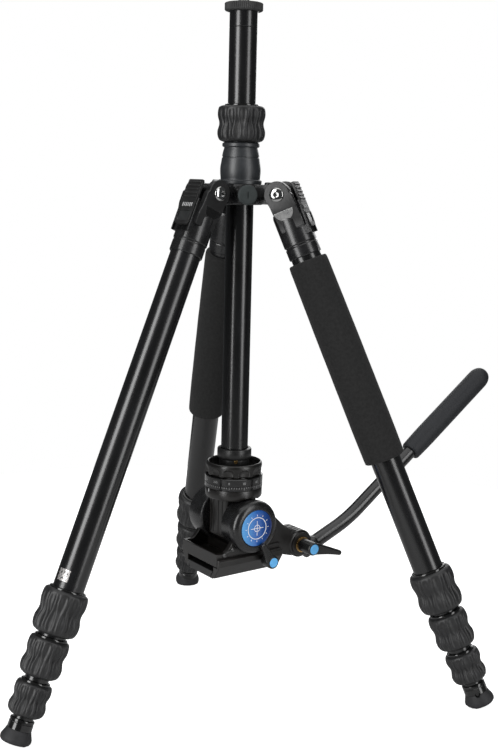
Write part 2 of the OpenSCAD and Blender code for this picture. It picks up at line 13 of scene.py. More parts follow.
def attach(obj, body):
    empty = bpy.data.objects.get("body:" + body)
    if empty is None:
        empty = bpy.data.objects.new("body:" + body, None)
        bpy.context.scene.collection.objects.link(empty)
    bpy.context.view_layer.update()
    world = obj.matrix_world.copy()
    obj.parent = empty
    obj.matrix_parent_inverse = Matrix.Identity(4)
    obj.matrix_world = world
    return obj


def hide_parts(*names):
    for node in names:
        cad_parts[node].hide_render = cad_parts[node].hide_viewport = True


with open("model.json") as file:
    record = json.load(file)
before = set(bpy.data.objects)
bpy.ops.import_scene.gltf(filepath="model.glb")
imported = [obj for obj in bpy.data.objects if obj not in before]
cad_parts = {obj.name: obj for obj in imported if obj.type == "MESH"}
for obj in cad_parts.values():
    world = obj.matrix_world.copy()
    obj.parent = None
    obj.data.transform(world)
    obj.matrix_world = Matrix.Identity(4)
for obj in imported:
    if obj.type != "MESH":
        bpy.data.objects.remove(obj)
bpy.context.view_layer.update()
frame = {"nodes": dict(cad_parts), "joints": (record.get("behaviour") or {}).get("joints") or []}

MM = 0.001
LEGS = ("left", "right", "rear")
HERE = Matrix.Identity(4)

# ---------------------------------------------------------------- sizes, as in the frame (millimetres)

TUBE_R = (12.5, 11.0, 9.5, 8.0)
TUBE_WALL = 1.25
TUBE_TOP = (32, 62, 68, 74)
LOCKS = ((333, 369, 18.4), (371, 402.5, 16.4), (406, 433.5, 14.7))
LOCK_LIP = 5.5
FOOT_TOP = 436
FOOT_END = 455
COLUMN_R = 11.5
COLUMN_TOP = 549.3
TILT_Z = 137.2
BOSS_U = 57.5
BOSS_Z = 110.5


# ---------------------------------------------------------------- camera, floor and light

def add_camera():
    """Looks at the tripod from slightly above, a little left of the port on its apex."""
    turn, yaw, pitch, roll = (math.radians(a) for a in (-12.76, 0.318, -9.874, 1.356))
    right = Vector((math.cos(yaw), -math.sin(yaw), 0))
    ahead = Vector((math.sin(yaw) * math.cos(pitch), math.cos(yaw) * math.cos(pitch), math.sin(pitch)))
    up = right.cross(ahead)
    side = right * math.cos(roll) + up * math.sin(roll)
    top = up * math.cos(roll) - right * math.sin(roll)
    camera = bpy.data.objects.new("camera", bpy.data.cameras.new("camera"))
    camera.data.sensor_width = 36
    camera.data.lens = 56.121
    camera.data.clip_end = 50
    bpy.context.scene.collection.objects.link(camera)
    pose = Matrix((side, top, -ahead)).transposed().to_4x4()
    pose.translation = Vector((0.005655, -0.9837, 0.4345))
    camera.matrix_world = Matrix.Rotation(turn, 4, "Z") @ pose
    bpy.context.scene.camera = camera


def add_light(name, azimuth, distance, height, size, radiance, aim=0.3, tint=(1, 1, 1)):
    """Soft box at a compass direction, turned to a point on the column axis; radiance is its brightness."""
    data = bpy.data.lights.new(name, "AREA")
    data.shape = "RECTANGLE"
    data.size, data.size_y = size
    data.energy = radiance * math.pi * size[0] * size[1]
    data.color = tint
    light = bpy.data.objects.new(name, data)
    bpy.context.scene.collection.objects.link(light)
    angle = math.radians(azimuth)
    place = Vector((distance * math.cos(angle), distance * math.sin(angle), height))
    light.location = place
    light.rotation_euler = (place - Vector((0, 0, aim))).to_track_quat("Z", "Y").to_euler()


def add_studio():
    """White room for the camera, dim surroundings for reflections, and a small pale floor."""
    scene = bpy.context.scene
    scene.view_settings.view_transform = "Standard"
    world = bpy.data.worlds.new("studio")
    scene.world = world
    world.use_nodes = True
    nodes, links = world.node_tree.nodes, world.node_tree.links
    nodes.clear()
    seen = nodes.new("ShaderNodeBackground")
    seen.inputs["Color"].default_value = (1, 1, 1, 1)
    around = nodes.new("ShaderNodeBackground")
    around.inputs["Color"].default_value = (0.93, 0.97, 1, 1)
    around.inputs["Strength"].default_value = 0.08
    path = nodes.new("ShaderNodeLightPath")
    mix = nodes.new("ShaderNodeMixShader")
    out = nodes.new("ShaderNodeOutputWorld")
    links.new(path.outputs["Is Camera Ray"], mix.inputs["Fac"])
    links.new(around.outputs[0], mix.inputs[1])
    links.new(seen.outputs[0], mix.inputs[2])
    links.new(mix.outputs[0], out.inputs["Surface"])

    camera_side = -90 - 12.76
    add_light("left_box", camera_side - 45, 1.45, 0.62, (0.6, 1.5), 7.6)
    add_light("right_box", camera_side + 50, 1.45, 0.62, (0.5, 1.5), 4.6)
    add_light("rear_box", camera_side + 170, 1.7, 0.9, (1.2, 1.0), 2.4)
    add_light("sky_box", 0, 0.01, 2.0, (2.6, 2.6), 1.4)

    floor = bpy.data.meshes.new("floor")
    ring = [(0.72 * math.cos(a * math.pi / 48), 0.72 * math.sin(a * math.pi / 48), -0.0006)
            for a in range(96)]
    floor.from_pydata(ring, [], [tuple(range(96))])
    floor = bpy.data.objects.new("floor", floor)
    bpy.context.scene.collection.objects.link(floor)
    pale = bpy.data.materials.new("pale_floor")
    pale.use_nodes = True
    shader = pale.node_tree.nodes["Principled BSDF"]
    shader.inputs["Base Color"].default_value = (0.6, 0.6, 0.6, 1)
    shader.inputs["Roughness"].default_value = 0.9
    shader.inputs["Specular IOR Level"].default_value = 0.1
    shader.inputs["Emission Color"].default_value = (1, 1, 1, 1)
    floor_path = pale.node_tree.nodes.new("ShaderNodeLightPath")
    glow = pale.node_tree.nodes.new("ShaderNodeMath")
    glow.operation = "MULTIPLY"
    glow.inputs[1].default_value = 0.86
    pale.node_tree.links.new(floor_path.outputs["Is Camera Ray"], glow.inputs[0])
    pale.node_tree.links.new(glow.outputs[0], shader.inputs["Emission Strength"])
    floor.data.materials.append(pale)


# ---------------------------------------------------------------- shells: (points, faces) in millimetres

def lathe(profile, n=96, closed=True, shape=None):
    """Turns (radius, height) points about Z. shape(angle, radius, height) may give a new radius."""
    points, rings = [], []
    for radius, height in profile:
        if radius < 1e-6:
            rings.append([len(points)])
            points.append((0, 0, height))
            continue
        ring = []
        for k in range(n):
            angle = 2 * math.pi * k / n
            r = shape(angle, radius, height) if shape else radius
            ring.append(len(points))
            points.append((r * math.cos(angle), r * math.sin(angle), height))
        rings.append(ring)
    pairs = list(zip(rings, rings[1:]))
    if closed:
        pairs.append((rings[-1], rings[0]))
    faces = []
    for low, high in pairs:
        for k in range(n):
            j = (k + 1) % n
            if len(low) == 1 and len(high) == 1:
                break
            if len(low) == 1:
                faces.append((low[0], high[j], high[k]))
            elif len(high) == 1:
                faces.append((low[k], low[j], high[0]))
            else:
                faces.append((low[k], low[j], high[j], high[k]))
    return points, faces


def solid(profile, n=96, shape=None):
    """Lathe of a profile that starts and ends on the axis."""
    return lathe(profile, n, False, shape)


def prism(outline, z0, z1):
    """Slab of an (x, y) outline between two heights."""
    n = len(outline)
    points = [(x, y, z0) for x, y in outline] + [(x, y, z1) for x, y in outline]
    faces = [tuple(range(n - 1, -1, -1)), tuple(range(n, 2 * n))]
    faces += [(k, (k + 1) % n, n + (k + 1) % n, n + k) for k in range(n)]
    return points, faces


def block(x0, x1, y0, y1, z0, z1):
    return prism([(x0, y0), (x1, y0), (x1, y1), (x0, y1)], z0, z1)


def arc(x, y, r, start, end, n=12):
    """Points on a circle from one angle to another, in degrees."""
    return [(x + r * math.cos(math.radians(start + (end - start) * k / n)),
             y + r * math.sin(math.radians(start + (end - start) * k / n))) for k in range(n + 1)]


def rounded_box(x0, x1, y0, y1, r, n=6):
    """Outline of a rectangle whose corners have radius r, or four radii from the low corner anticlockwise."""
    r = r if isinstance(r, (tuple, list)) else (r, r, r, r)
    return (arc(x0 + r[0], y0 + r[0], r[0], 180, 270, n) + arc(x1 - r[1], y0 + r[1], r[1], 270, 360, n)
            + arc(x1 - r[2], y1 - r[2], r[2], 0, 90, n) + arc(x0 + r[3], y1 - r[3], r[3], 90, 180, n))


def moved(shell, matrix):
    return [tuple(matrix @ Vector(p)) for p in shell[0]], shell[1]


def shifted(shell, x=0, y=0, z=0):
    return moved(shell, Matrix.Translation((x, y, z)))


def turned(shell, angle, axis="Z"):
    return moved(shell, Matrix.Rotation(math.radians(angle), 4, axis))


def sweep(path, r, n=40):
    """Round bar along a list of points in a plane, with closed ends."""
    path = [Vector(p) for p in path]
    points, faces = [], []
    for k, p in enumerate(path):
        ahead = (path[min(k + 1, len(path) - 1)] - path[max(k - 1, 0)]).normalized()
        side = Vector((0, 0, 1))
        up = side.cross(ahead).normalized()
        for j in range(n):
            angle = 2 * math.pi * j / n
            points.append(tuple(p + up * (r * math.cos(angle)) + side * (r * math.sin(angle))))
    for k in range(len(path) - 1):
        for j in range(n):
            i = (j + 1) % n
            faces.append((k * n + j, k * n + i, (k + 1) * n + i, (k + 1) * n + j))
    faces.append(tuple(range(n)))
    faces.append(tuple(range((len(path) - 1) * n, len(path) * n)))
    return points, faces


# ---------------------------------------------------------------- pieces

def make_object(name, shells, place):
    points, faces = [], []
    for shell_points, shell_faces in shells:
        start = len(points)
        points += [tuple(c * MM for c in p) for p in shell_points]
        faces += [tuple(start + k for k in f) for f in shell_faces]
    mesh = bpy.data.meshes.new(name)
    mesh.from_pydata(points, [], faces)
    tidy = bmesh.new()
    tidy.from_mesh(mesh)
    bmesh.ops.recalc_face_normals(tidy, faces=tidy.faces)
    tidy.to_mesh(mesh)
    tidy.free()
    obj = bpy.data.objects.new(name, mesh)
    bpy.context.scene.collection.objects.link(obj)
    obj.matrix_world = place
    return obj


def piece(name, shells, material, body, place=HERE, nodes=(), bevel=0.0, sharp=32, steps=2):
    """One visible piece: its shells, finish, the body it rides on and the CAD nodes that it stands for."""
    obj = make_object(name, shells, place)
    mesh = obj.data
    mesh.polygons.foreach_set("use_smooth", [True] * len(mesh.polygons))
    if bevel:
        edge = obj.modifiers.new("edges", "BEVEL")
        edge.width = bevel * MM
        edge.segments = steps
        edge.limit_method = "ANGLE"
        edge.angle_limit = math.radians(sharp)
        edge.harden_normals = True
    else:
        mesh.set_sharp_from_angle(angle=math.radians(sharp))
    mesh.materials.append(material)
    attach(obj, body)
    if nodes:
        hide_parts(*nodes)
    return obj


def cut(obj, tool_shells, place=HERE):
    """Removes the tool shells from a piece, before its edges are rounded."""
    tool = make_object(obj.name + "_cutter", tool_shells, place)
    carve = obj.modifiers.new("cut", "BOOLEAN")
    carve.operation = "DIFFERENCE"
    carve.solver = "EXACT"
    carve.object = tool
    bpy.context.view_layer.update()
    for other in [m for m in obj.modifiers if m.type == "BEVEL"]:
        other.show_viewport = other.show_render = False
    bpy.context.view_layer.update()
    carved = bpy.data.meshes.new_from_object(obj.evaluated_get(bpy.context.evaluated_depsgraph_get()))
    obj.modifiers.remove(carve)
    for other in [m for m in obj.modifiers if m.type == "BEVEL"]:
        other.show_viewport = other.show_render = True
    obj.data = carved
    bpy.data.objects.remove(tool)
    return obj


# ---------------------------------------------------------------- finishes

def finish(name, dark, light, rough, grain, bump, metal=0.0, specular=0.5, coat=0.0, coat_rough=0.1,
           sheen=0.0, patch=180.0, stretch=(1, 1, 1), detail=4.0):
    """Principled finish. dark and light are the two ends of its colour variation, rough its range of
    roughness, grain the number of grains per metre and bump their height in metres."""
    material = bpy.data.materials.new(name)
    material.use_nodes = True
    nodes, links = material.node_tree.nodes, material.node_tree.links
    shader = nodes["Principled BSDF"]
    shader.inputs["Metallic"].default_value = metal
    shader.inputs["Specular IOR Level"].default_value = specular
    shader.inputs["Coat Weight"].default_value = coat
    shader.inputs["Coat Roughness"].default_value = coat_rough
    shader.inputs["Sheen Weight"].default_value = sheen
    where = nodes.new("ShaderNodeTexCoord")
    scale = nodes.new("ShaderNodeMapping")
    scale.inputs["Scale"].default_value = stretch
    links.new(where.outputs["Object"], scale.inputs["Vector"])

    patches = nodes.new("ShaderNodeTexNoise")
    patches.inputs["Scale"].default_value = patch
    patches.inputs["Detail"].default_value = 5
    patches.inputs["Roughness"].default_value = 0.6
    links.new(scale.outputs["Vector"], patches.inputs["Vector"])
    colours = nodes.new("ShaderNodeValToRGB")
    colours.color_ramp.elements[0].position = 0.35
    colours.color_ramp.elements[1].position = 0.7
    colours.color_ramp.elements[0].color = (*dark, 1)
    colours.color_ramp.elements[1].color = (*light, 1)
    links.new(patches.outputs["Fac"], colours.inputs["Fac"])
    links.new(colours.outputs["Color"], shader.inputs["Base Color"])

    grains = nodes.new("ShaderNodeTexNoise")
    grains.inputs["Scale"].default_value = grain
    grains.inputs["Detail"].default_value = detail
    grains.inputs["Roughness"].default_value = 0.55
    links.new(scale.outputs["Vector"], grains.inputs["Vector"])
    gloss = nodes.new("ShaderNodeMapRange")
    gloss.inputs["From Min"].default_value = 0.3
    gloss.inputs["From Max"].default_value = 0.7
    gloss.inputs["To Min"].default_value = rough[0]
    gloss.inputs["To Max"].default_value = rough[1]
    blend = nodes.new("ShaderNodeMath")
    blend.operation = "ADD"
    half = nodes.new("ShaderNodeMath")
    half.operation = "MULTIPLY"
    half.inputs[1].default_value = 0.5
    links.new(patches.outputs["Fac"], blend.inputs[0])
    links.new(grains.outputs["Fac"], blend.inputs[1])
    links.new(blend.outputs[0], half.inputs[0])
    links.new(half.outputs[0], gloss.inputs["Value"])
    links.new(gloss.outputs["Result"], shader.inputs["Roughness"])

    relief = nodes.new("ShaderNodeBump")
    relief.inputs["Strength"].default_value = 1.0
    relief.inputs["Distance"].default_value = bump
    links.new(grains.outputs["Fac"], relief.inputs["Height"])
    links.new(relief.outputs["Normal"], shader.inputs["Normal"])
    return material


def grey(v, blue=1.0):
    return (v, v, v * blue)


def badge_finish():
    """Blue foil under clear lacquer: light on the left, deep on the right, with a fine brushed grain."""
    material = finish("badge_blue", (0.02, 0.14, 0.55), (0.03, 0.18, 0.62), (0.2, 0.32), 2500, 0.000004,
                      metal=0.15, coat=1.0, coat_rough=0.06, stretch=(1, 12, 1))
    nodes, links = material.node_tree.nodes, material.node_tree.links
    where = nodes.new("ShaderNodeTexCoord")
    parts = nodes.new("ShaderNodeSeparateXYZ")
    across = nodes.new("ShaderNodeMapRange")
    across.inputs["From Min"].default_value = -0.0156
    across.inputs["From Max"].default_value = 0.0156
    wobble = nodes.new("ShaderNodeTexNoise")
    wobble.inputs["Scale"].default_value = 60
    mixed = nodes.new("ShaderNodeMath")
    mixed.operation = "MULTIPLY_ADD"
    mixed.inputs[1].default_value = 0.12
    ramp = nodes.new("ShaderNodeValToRGB")
    stops = ramp.color_ramp
    stops.elements[0].position = 0.12
    stops.elements[0].color = (0.075, 0.36, 0.78, 1)
    stops.elements[1].position = 1.0
    stops.elements[1].color = (0.004, 0.028, 0.16, 1)
    middle = stops.elements.new(0.55)
    middle.color = (0.018, 0.13, 0.5, 1)
    links.new(where.outputs["Object"], parts.inputs["Vector"])
    links.new(parts.outputs["X"], across.inputs["Value"])
    links.new(where.outputs["Object"], wobble.inputs["Vector"])
    links.new(wobble.outputs["Fac"], mixed.inputs[0])
    links.new(across.outputs["Result"], mixed.inputs[2])
    links.new(mixed.outputs[0], ramp.inputs["Fac"])
    links.new(ramp.outputs["Color"], nodes["Principled BSDF"].inputs["Base Color"])
    return material


def foil_finish():
    """Silver security sticker: pale metal foil with a fine square check."""
    material = finish("foil", grey(0.5), grey(0.72), (0.28, 0.45), 900, 0.000006, metal=0.6)
    nodes, links = material.node_tree.nodes, material.node_tree.links
    where = nodes.new("ShaderNodeTexCoord")
    check = nodes.new("ShaderNodeTexChecker")
    check.inputs["Scale"].default_value = 700
    check.inputs["Color1"].default_value = (0.5, 0.48, 0.46, 1)
    check.inputs["Color2"].default_value = (0.24, 0.23, 0.23, 1)
    links.new(where.outputs["Object"], check.inputs["Vector"])
    links.new(check.outputs["Color"], nodes["Principled BSDF"].inputs["Base Color"])
    return material


TUBE = finish("anodised_tube", grey(0.0035), grey(0.007, 1.1), (0.19, 0.28), 2600, 0.0000022, specular=0.62,
              patch=60, stretch=(1, 1, 0.35))
RUBBER = finish("lock_rubber", grey(0.007, 1.05), grey(0.013, 1.06), (0.4, 0.56), 2400, 0.000012,
                specular=0.5, patch=260)
SOLE = finish("foot_rubber", grey(0.011, 1.08), grey(0.022, 1.1), (0.55, 0.75), 1900, 0.000016, specular=0.4,
              patch=200)
FOAM = finish("foam", grey(0.011), grey(0.019), (0.86, 0.98), 2100, 0.00009, specular=0.22, sheen=0.06,
              patch=420, detail=6)
CASTING = finish("black_casting", grey(0.006), grey(0.012, 1.08), (0.2, 0.34), 2200, 0.000005, specular=0.55,
                 patch=90)
FLAT_CASTING = finish("flat_casting", grey(0.006), grey(0.012, 1.05), (0.28, 0.4), 2600, 0.000009,
                      specular=0.5, patch=90)
PLASTIC = finish("black_plastic", grey(0.008), grey(0.015), (0.3, 0.45), 1800, 0.00001, specular=0.5,
                 patch=150)
GLOSS = finish("gloss_plastic", grey(0.005), grey(0.008), (0.1, 0.18), 900, 0.0000015, specular=0.6, patch=80)
PORT = finish("grey_rubber", (0.018, 0.023, 0.023), (0.028, 0.034, 0.034), (0.6, 0.75), 2400, 0.000012,
              specular=0.35, patch=240)
CHROME = finish("chrome", grey(0.36), grey(0.5, 0.97), (0.05, 0.13), 700, 0.0000012, metal=1.0, patch=120)
COLLAR = finish("satin_collar", (0.016, 0.018, 0.02), (0.026, 0.028, 0.031), (0.34, 0.44), 2600, 0.000005,
                specular=0.6, patch=110)
DISC = finish("disc_black", grey(0.02), grey(0.036), (0.5, 0.68), 2300, 0.000012, specular=0.4, patch=220)
STEEL = finish("steel", grey(0.42), grey(0.6, 0.98), (0.22, 0.36), 1500, 0.000004, metal=1.0, patch=160)
HEAD = finish("head_black", (0.0048, 0.0042, 0.0038), (0.0095, 0.0083, 0.0074), (0.26, 0.38), 2500, 0.000008,
              specular=0.55, patch=120)
HEAD_GLOSS = finish("head_gloss", grey(0.005), grey(0.009), (0.12, 0.2), 1600, 0.000002, specular=0.6,
                    patch=90)
LEVER = finish("lever_black", grey(0.006), grey(0.011), (0.22, 0.32), 1900, 0.000005, specular=0.52,
               patch=130)
GRIP = finish("grip_rubber", (0.0095, 0.0105, 0.013), (0.0145, 0.016, 0.019), (0.5, 0.66), 2300, 0.000014,
              specular=0.36, sheen=0.03, patch=170)
BRASS = finish("brass", (0.5, 0.3, 0.1), (0.72, 0.48, 0.2), (0.2, 0.34), 1600, 0.000003, metal=1.0, patch=200)
BADGE = badge_finish()
BLUE = finish("dot_blue", (0.12, 0.46, 0.9), (0.16, 0.54, 0.97), (0.32, 0.45), 1900, 0.000006, specular=0.5,
              patch=350)
MARK = finish("mark_white", grey(0.3), grey(0.42), (0.5, 0.65), 1800, 0.000003, specular=0.3, patch=500)
EMBLEM = finish("emblem_white", grey(0.8), grey(0.92), (0.35, 0.5), 1500, 0.000002, specular=0.4, patch=500)
FOIL = foil_finish()
DULL = finish("dull_steel", grey(0.1), grey(0.17, 0.98), (0.34, 0.48), 1500, 0.000004, metal=1.0, patch=160)


# ---------------------------------------------------------------- frames of reference

JOINTS = {j["name"]: j for j in frame["joints"]}


def leg_place(leg):
    """Hinge at the origin, +Z up the leg, +X away from the column."""
    hinge = Vector(JOINTS[leg + "_leg_swing"]["pos_m"])
    up = -Vector(JOINTS[leg + "_stage_2_slide"]["axis"]).normalized()
    side = Vector((0, 0, 1)).cross(Vector((hinge.x, hinge.y, 0))).normalized()
    out = side.cross(up)
    place = Matrix((out, side, up)).transposed().to_4x4()
    place.translation = hinge
    return place


def head_place(v=0.0):
    """Plane across the tilt axis: x along the handle, y is height and z along the tilt axis to the badge."""
    along = Vector(JOINTS["tilt"]["axis"]).normalized()
    handle = Vector((0, 0, 1)).cross(along).normalized()
    place = Matrix((handle, Vector((0, 0, 1)), along)).transposed().to_4x4()
    place.translation = along * (v * MM)
    return place


HEAD_AT = head_place()
ACROSS = Matrix.Rotation(math.radians(90), 4, "X")     # a slab's height becomes -Y


def side_slab(outline, half_width):
    """Slab of an (x, z) outline, as wide as y from -half_width to half_width."""
    return moved(prism(outline, -half_width, half_width), ACROSS)


def on_v(profile, u, z, v0, n=96, shape=None):
    """Turned part along the tilt axis, at a place in the head's plane."""
    return shifted(solid(profile, n, shape), u, z, v0)


def disc(r, h, c=0.4):
    """Profile of a plain disc with small chamfers."""
    return [(0, 0), (r - c, 0), (r, c), (r, h - c), (r - c, h), (0, h)]


# ---------------------------------------------------------------- twist locks

RIBS = 24
RIB_HEIGHT = 1.05
RIB_SWAY = 0.2


def lock_radius(r, t):
    """Radius of the two-lobed grip, t from 0 at its lower end to 1 at its rim."""
    if t < 0.26:
        return r - 4.4 * (1 - (1 - ((0.26 - t) / 0.26) ** 2.3) ** 0.5)
    if t < 0.76:
        return r - 1.45 * 0.5 * (1 - math.cos(2 * math.pi * (t - 0.26) / 0.5))
    return r - 2.6 * (1 - (1 - ((t - 0.76) / 0.24) ** 2.6) ** 0.5)


def rib_height(angle, t):
    """Height of the swaying ribs, from 0 to 1; neighbours sway in opposite directions."""
    turn = angle * RIBS / (2 * math.pi)
    best = 0.0
    for k in (math.floor(turn) - 1, math.floor(turn), math.floor(turn) + 1, math.floor(turn) + 2):
        lean = RIB_SWAY * (1 if k % 2 else -1) * math.sin(2 * math.pi * (t - 0.02))
        off = abs(turn - k - lean)
        if off < 0.5:
            best = max(best, math.cos(math.pi * off) ** 1.3)
    return best


def ribbed_grip(low, high, r, bore, n=RIBS * 10, rows=40):
    """Rubber sleeve about Z between two heights, ribbed all round."""
    points, faces = [], []
    for row in range(rows + 1):
        t = 0.5 - 0.5 * math.cos(math.pi * row / rows) if row in (0, rows) else row / rows
        fade = min(1, max(0, t / 0.16)) * min(1, max(0, (0.95 - t) / 0.1))
        for k in range(n):
            angle = 2 * math.pi * k / n
            radius = lock_radius(r, t) - RIB_HEIGHT * fade * (1 - rib_height(angle, t))
            points.append((radius * math.cos(angle), radius * math.sin(angle), low + (high - low) * t))
    top_r = lock_radius(r, 1.0)
    low_r = lock_radius(r, 0.0)
    for radius, height in ((top_r - 0.5, high + 0.25), (bore + 0.4, high + 0.25), (bore, high - 0.3),
                           (bore, low + 0.3), (bore + 0.4, low - 0.25), (low_r - 0.5, low - 0.25)):
        for k in range(n):
            angle = 2 * math.pi * k / n
            points.append((radius * math.cos(angle), radius * math.sin(angle), height))
    total = len(points) // n
    for row in range(total):
        other = (row + 1) % total
        for k in range(n):
            j = (k + 1) % n
            faces.append((row * n + k, row * n + j, other * n + j, other * n + k))
    return points, faces


def add_lock(name, body, place, low, high, r, outer_tube, inner_tube):
    """Ribbed rubber grip on a gloss core whose collar stands out at both ends. Heights are along local Z."""
    grip_high = high - 1.9
    bore = outer_tube + 0.9
    piece(name + "_grip", [ribbed_grip(low + 0.25, grip_high, r, bore)], RUBBER, body, place,
          nodes=[name], sharp=50)
    ring = outer_tube + 2.2
    core = [
        (outer_tube + 0.12, high - 3.6), (outer_tube + 0.12, high - 0.4), (outer_tube + 0.5, high),
        (ring - 0.9, high), (ring - 0.25, high - 0.35), (ring, high - 1.0), (ring, high - 1.6),
        (bore + 0.6, high - 2.0), (bore - 0.1, high - 2.6), (bore - 0.1, low + 0.6),
        (bore - 0.5, low), (inner_tube + 0.5, low), (inner_tube + 0.12, low + 0.4),
        (inner_tube + 0.12, low + LOCK_LIP - 0.8), (outer_tube + 0.12, low + LOCK_LIP - 0.3)
    ]
    piece(name + "_core", [lathe(core, 96)], GLOSS, body, place, sharp=40)


# ---------------------------------------------------------------- legs

def tube_shell(a, b, r):
    """Leg section from distance a to b down the leg, with softened lips."""
    inner = r - TUBE_WALL
    c = 0.25
    return lathe([(r - c, -b), (r, -b + c), (r, -a - c), (r - c, -a), (inner + c, -a), (inner, -a - c),
                  (inner, -b + c), (inner + c, -b)], 128)


def add_tubes(leg, place):
    """Four telescoping sections; the inner three have a guide bushing at the top."""
    ends = (LOCKS[0][1], LOCKS[1][1], LOCKS[2][1], FOOT_TOP + 11.9 + LOCK_LIP)
    bodies = (leg + "_leg", leg + "_stage_2", leg + "_stage_3", leg + "_stage_4")
    for k, r in enumerate(TUBE_R):
        name = f"{leg}_tube_{k + 1}"
        shells = [tube_shell(TUBE_TOP[k], ends[k] - LOCK_LIP, r)]
        piece(name + "_section", shells, TUBE, bodies[k], place, nodes=[name], sharp=40)
        if k:
            top, wide = -TUBE_TOP[k], r + 0.2
            guide = [(r - 0.02, top - 18), (wide - 0.1, top - 18), (wide, top - 17.6), (wide, top - 0.4),
                     (wide - 0.1, top), (r - 0.02, top)]
            piece(name + "_guide", [lathe(guide, 64)], PLASTIC, bodies[k], place, sharp=40)


def add_foot(leg, place):
    """Gloss neck and a flared rubber pad that rests on its sole's inner edge; a hole runs through both."""
    top = -FOOT_TOP
    neck = [
        (0, top), (8.7, top), (9.5, top - 0.3), (9.75, top - 1.0), (9.75, top - 2.0), (9.35, top - 2.4),
        (9.35, top - 2.9), (9.7, top - 3.3), (9.75, top - 8.2), (9.4, top - 8.6), (0, top - 8.6)
    ]
    pad = [
        (0, top - 8.3), (9.5, top - 8.3), (9.95, top - 8.8), (10.5, top - 10.4), (11.3, top - 12.2),
        (12.0, top - 13.8), (12.35, top - 15.2), (12.38, top - 16.4), (12.15, top - 17.6),
        (11.0, top - 18.85), (10.4, -FOOT_END), (7.6, -FOOT_END), (7.2, -FOOT_END + 0.8),
        (6.6, -FOOT_END + 0.8), (6.2, -FOOT_END), (0, -FOOT_END)
    ]
    points, faces = solid(pad, 96)
    floor_up = place.inverted().to_3x3() @ Vector((0, 0, 1))
    flat = []
    for p in points:
        height = (place @ (Vector(p) * MM)).z / MM
        flat.append(tuple(Vector(p) - floor_up * min(0, height)))
    body = leg + "_stage_4"
    facing = {"left": -120, "right": -75, "rear": -90}[leg]
    hole = shifted(solid(disc(2.3, 6, 0.1), 24), 0, 0, 7.6)
    bore = moved(hole, Matrix.Translation((0, 0, top - 8.2)) @ Matrix.Rotation(math.radians(facing), 4, "Z")
                 @ Matrix.Rotation(math.radians(90), 4, "Y"))
    sleeve = piece(leg + "_foot_neck", [solid(neck, 96)], GLOSS, body, place, sharp=38)
    rubber = piece(leg + "_foot_pad", [(flat, faces)], SOLE, body, place,
                   nodes=[leg + "_foot"], sharp=38)
    for obj in (sleeve, rubber):
        cut(obj, [bore], place)
        obj.data.set_sharp_from_angle(angle=math.radians(38))


def add_foam(leg, place):
    """Slipped-on foam sleeve: soft ends, a faintly uneven closed-cell skin."""
    top, end, full = 58.0, 230.0 if leg == "rear" else 234.0, 17.4
    bore = TUBE_R[0] + 0.05
    profile = [(bore, -top), (full - 3.2, -top)]
    profile += [(full - 2.6 + 1.6 * math.sin(math.radians(a)), -top - 1.6 + 1.6 * math.cos(math.radians(a)))
                for a in range(15, 90, 15)]
    length = end - top
    for k in range(1, 90):
        along = k / 90
        belly = full - 1.0 * (1 - math.sin(math.pi * min(1, along + 0.03) * 0.5) ** 0.6)
        profile.append((belly - 0.25 * max(0, along - 0.9) * 10, -top - 1.8 - (length - 3.6) * along))
    profile += [(full - 1.9 + 1.6 * math.cos(math.radians(a)), -end + 1.6 - 1.6 * math.sin(math.radians(a)))
                for a in range(15, 90, 15)]
    profile += [(full - 2.6, -end), (bore, -end)]

    def uneven(angle, radius, height):
        if radius < full - 3.3:
            return radius
        spot = Vector((math.cos(angle) * 1.4, math.sin(angle) * 1.4, height * 0.06))
        return radius - 0.12 + 0.1 * noise.noise(spot) + 0.05 * noise.noise(spot * 9)

    foam = piece(leg + "_foam_grip", [lathe(profile, 160, True, uneven)], FOAM, leg + "_leg", place,
                 nodes=[leg + "_foam"], sharp=60)


def hexagon(r):
    """Radius function of a hexagonal socket whose flats are r from the axis."""
    return lambda angle: r / math.cos((angle + math.pi / 6) % (math.pi / 3) - math.pi / 6)


def bolt_head():
    """Domed bolt head on the plane z = 0 with a hexagonal socket."""
    socket = hexagon(2.0)
    profile = [(0, -0.4), (5.2, -0.4), (5.9, 0), (5.9, 0.5)]
    profile += [(0.3 + 5.6 * math.cos(math.radians(a)), 0.5 + 1.75 * math.sin(math.radians(a)))
                for a in range(12, 62, 8)]
    profile += [(2.45, 2.12), (2.3, 1.9), (2.2, 0.7), (0, 0.6)]
    return solid(profile, 72, lambda angle, r, z: socket(angle) * r / 2.2 if r < 2.35 and z > 0.1 else r)


def add_hinge_bolts():
    shells = []
    for leg in LEGS:
        place = Matrix.Translation(leg_place(leg).translation / MM)
        side = leg_place(leg).to_3x3() @ Vector((0, 1, 0))
        for sign in (1, -1):
            stand = (side * sign).to_track_quat("Z", "Y").to_matrix().to_4x4()
            shells.append(moved(bolt_head(), place @ stand @ Matrix.Translation((0, 0, 16.1))))
        stand = side.to_track_quat("Z", "Y").to_matrix().to_4x4()
        shells.append(moved(shifted(solid(disc(3, 33, 0.2), 32), z=-16.5), place @ stand))
    piece("hinge_bolt_set", shells, CHROME, "mount", nodes=["hinge_bolts"], sharp=40)


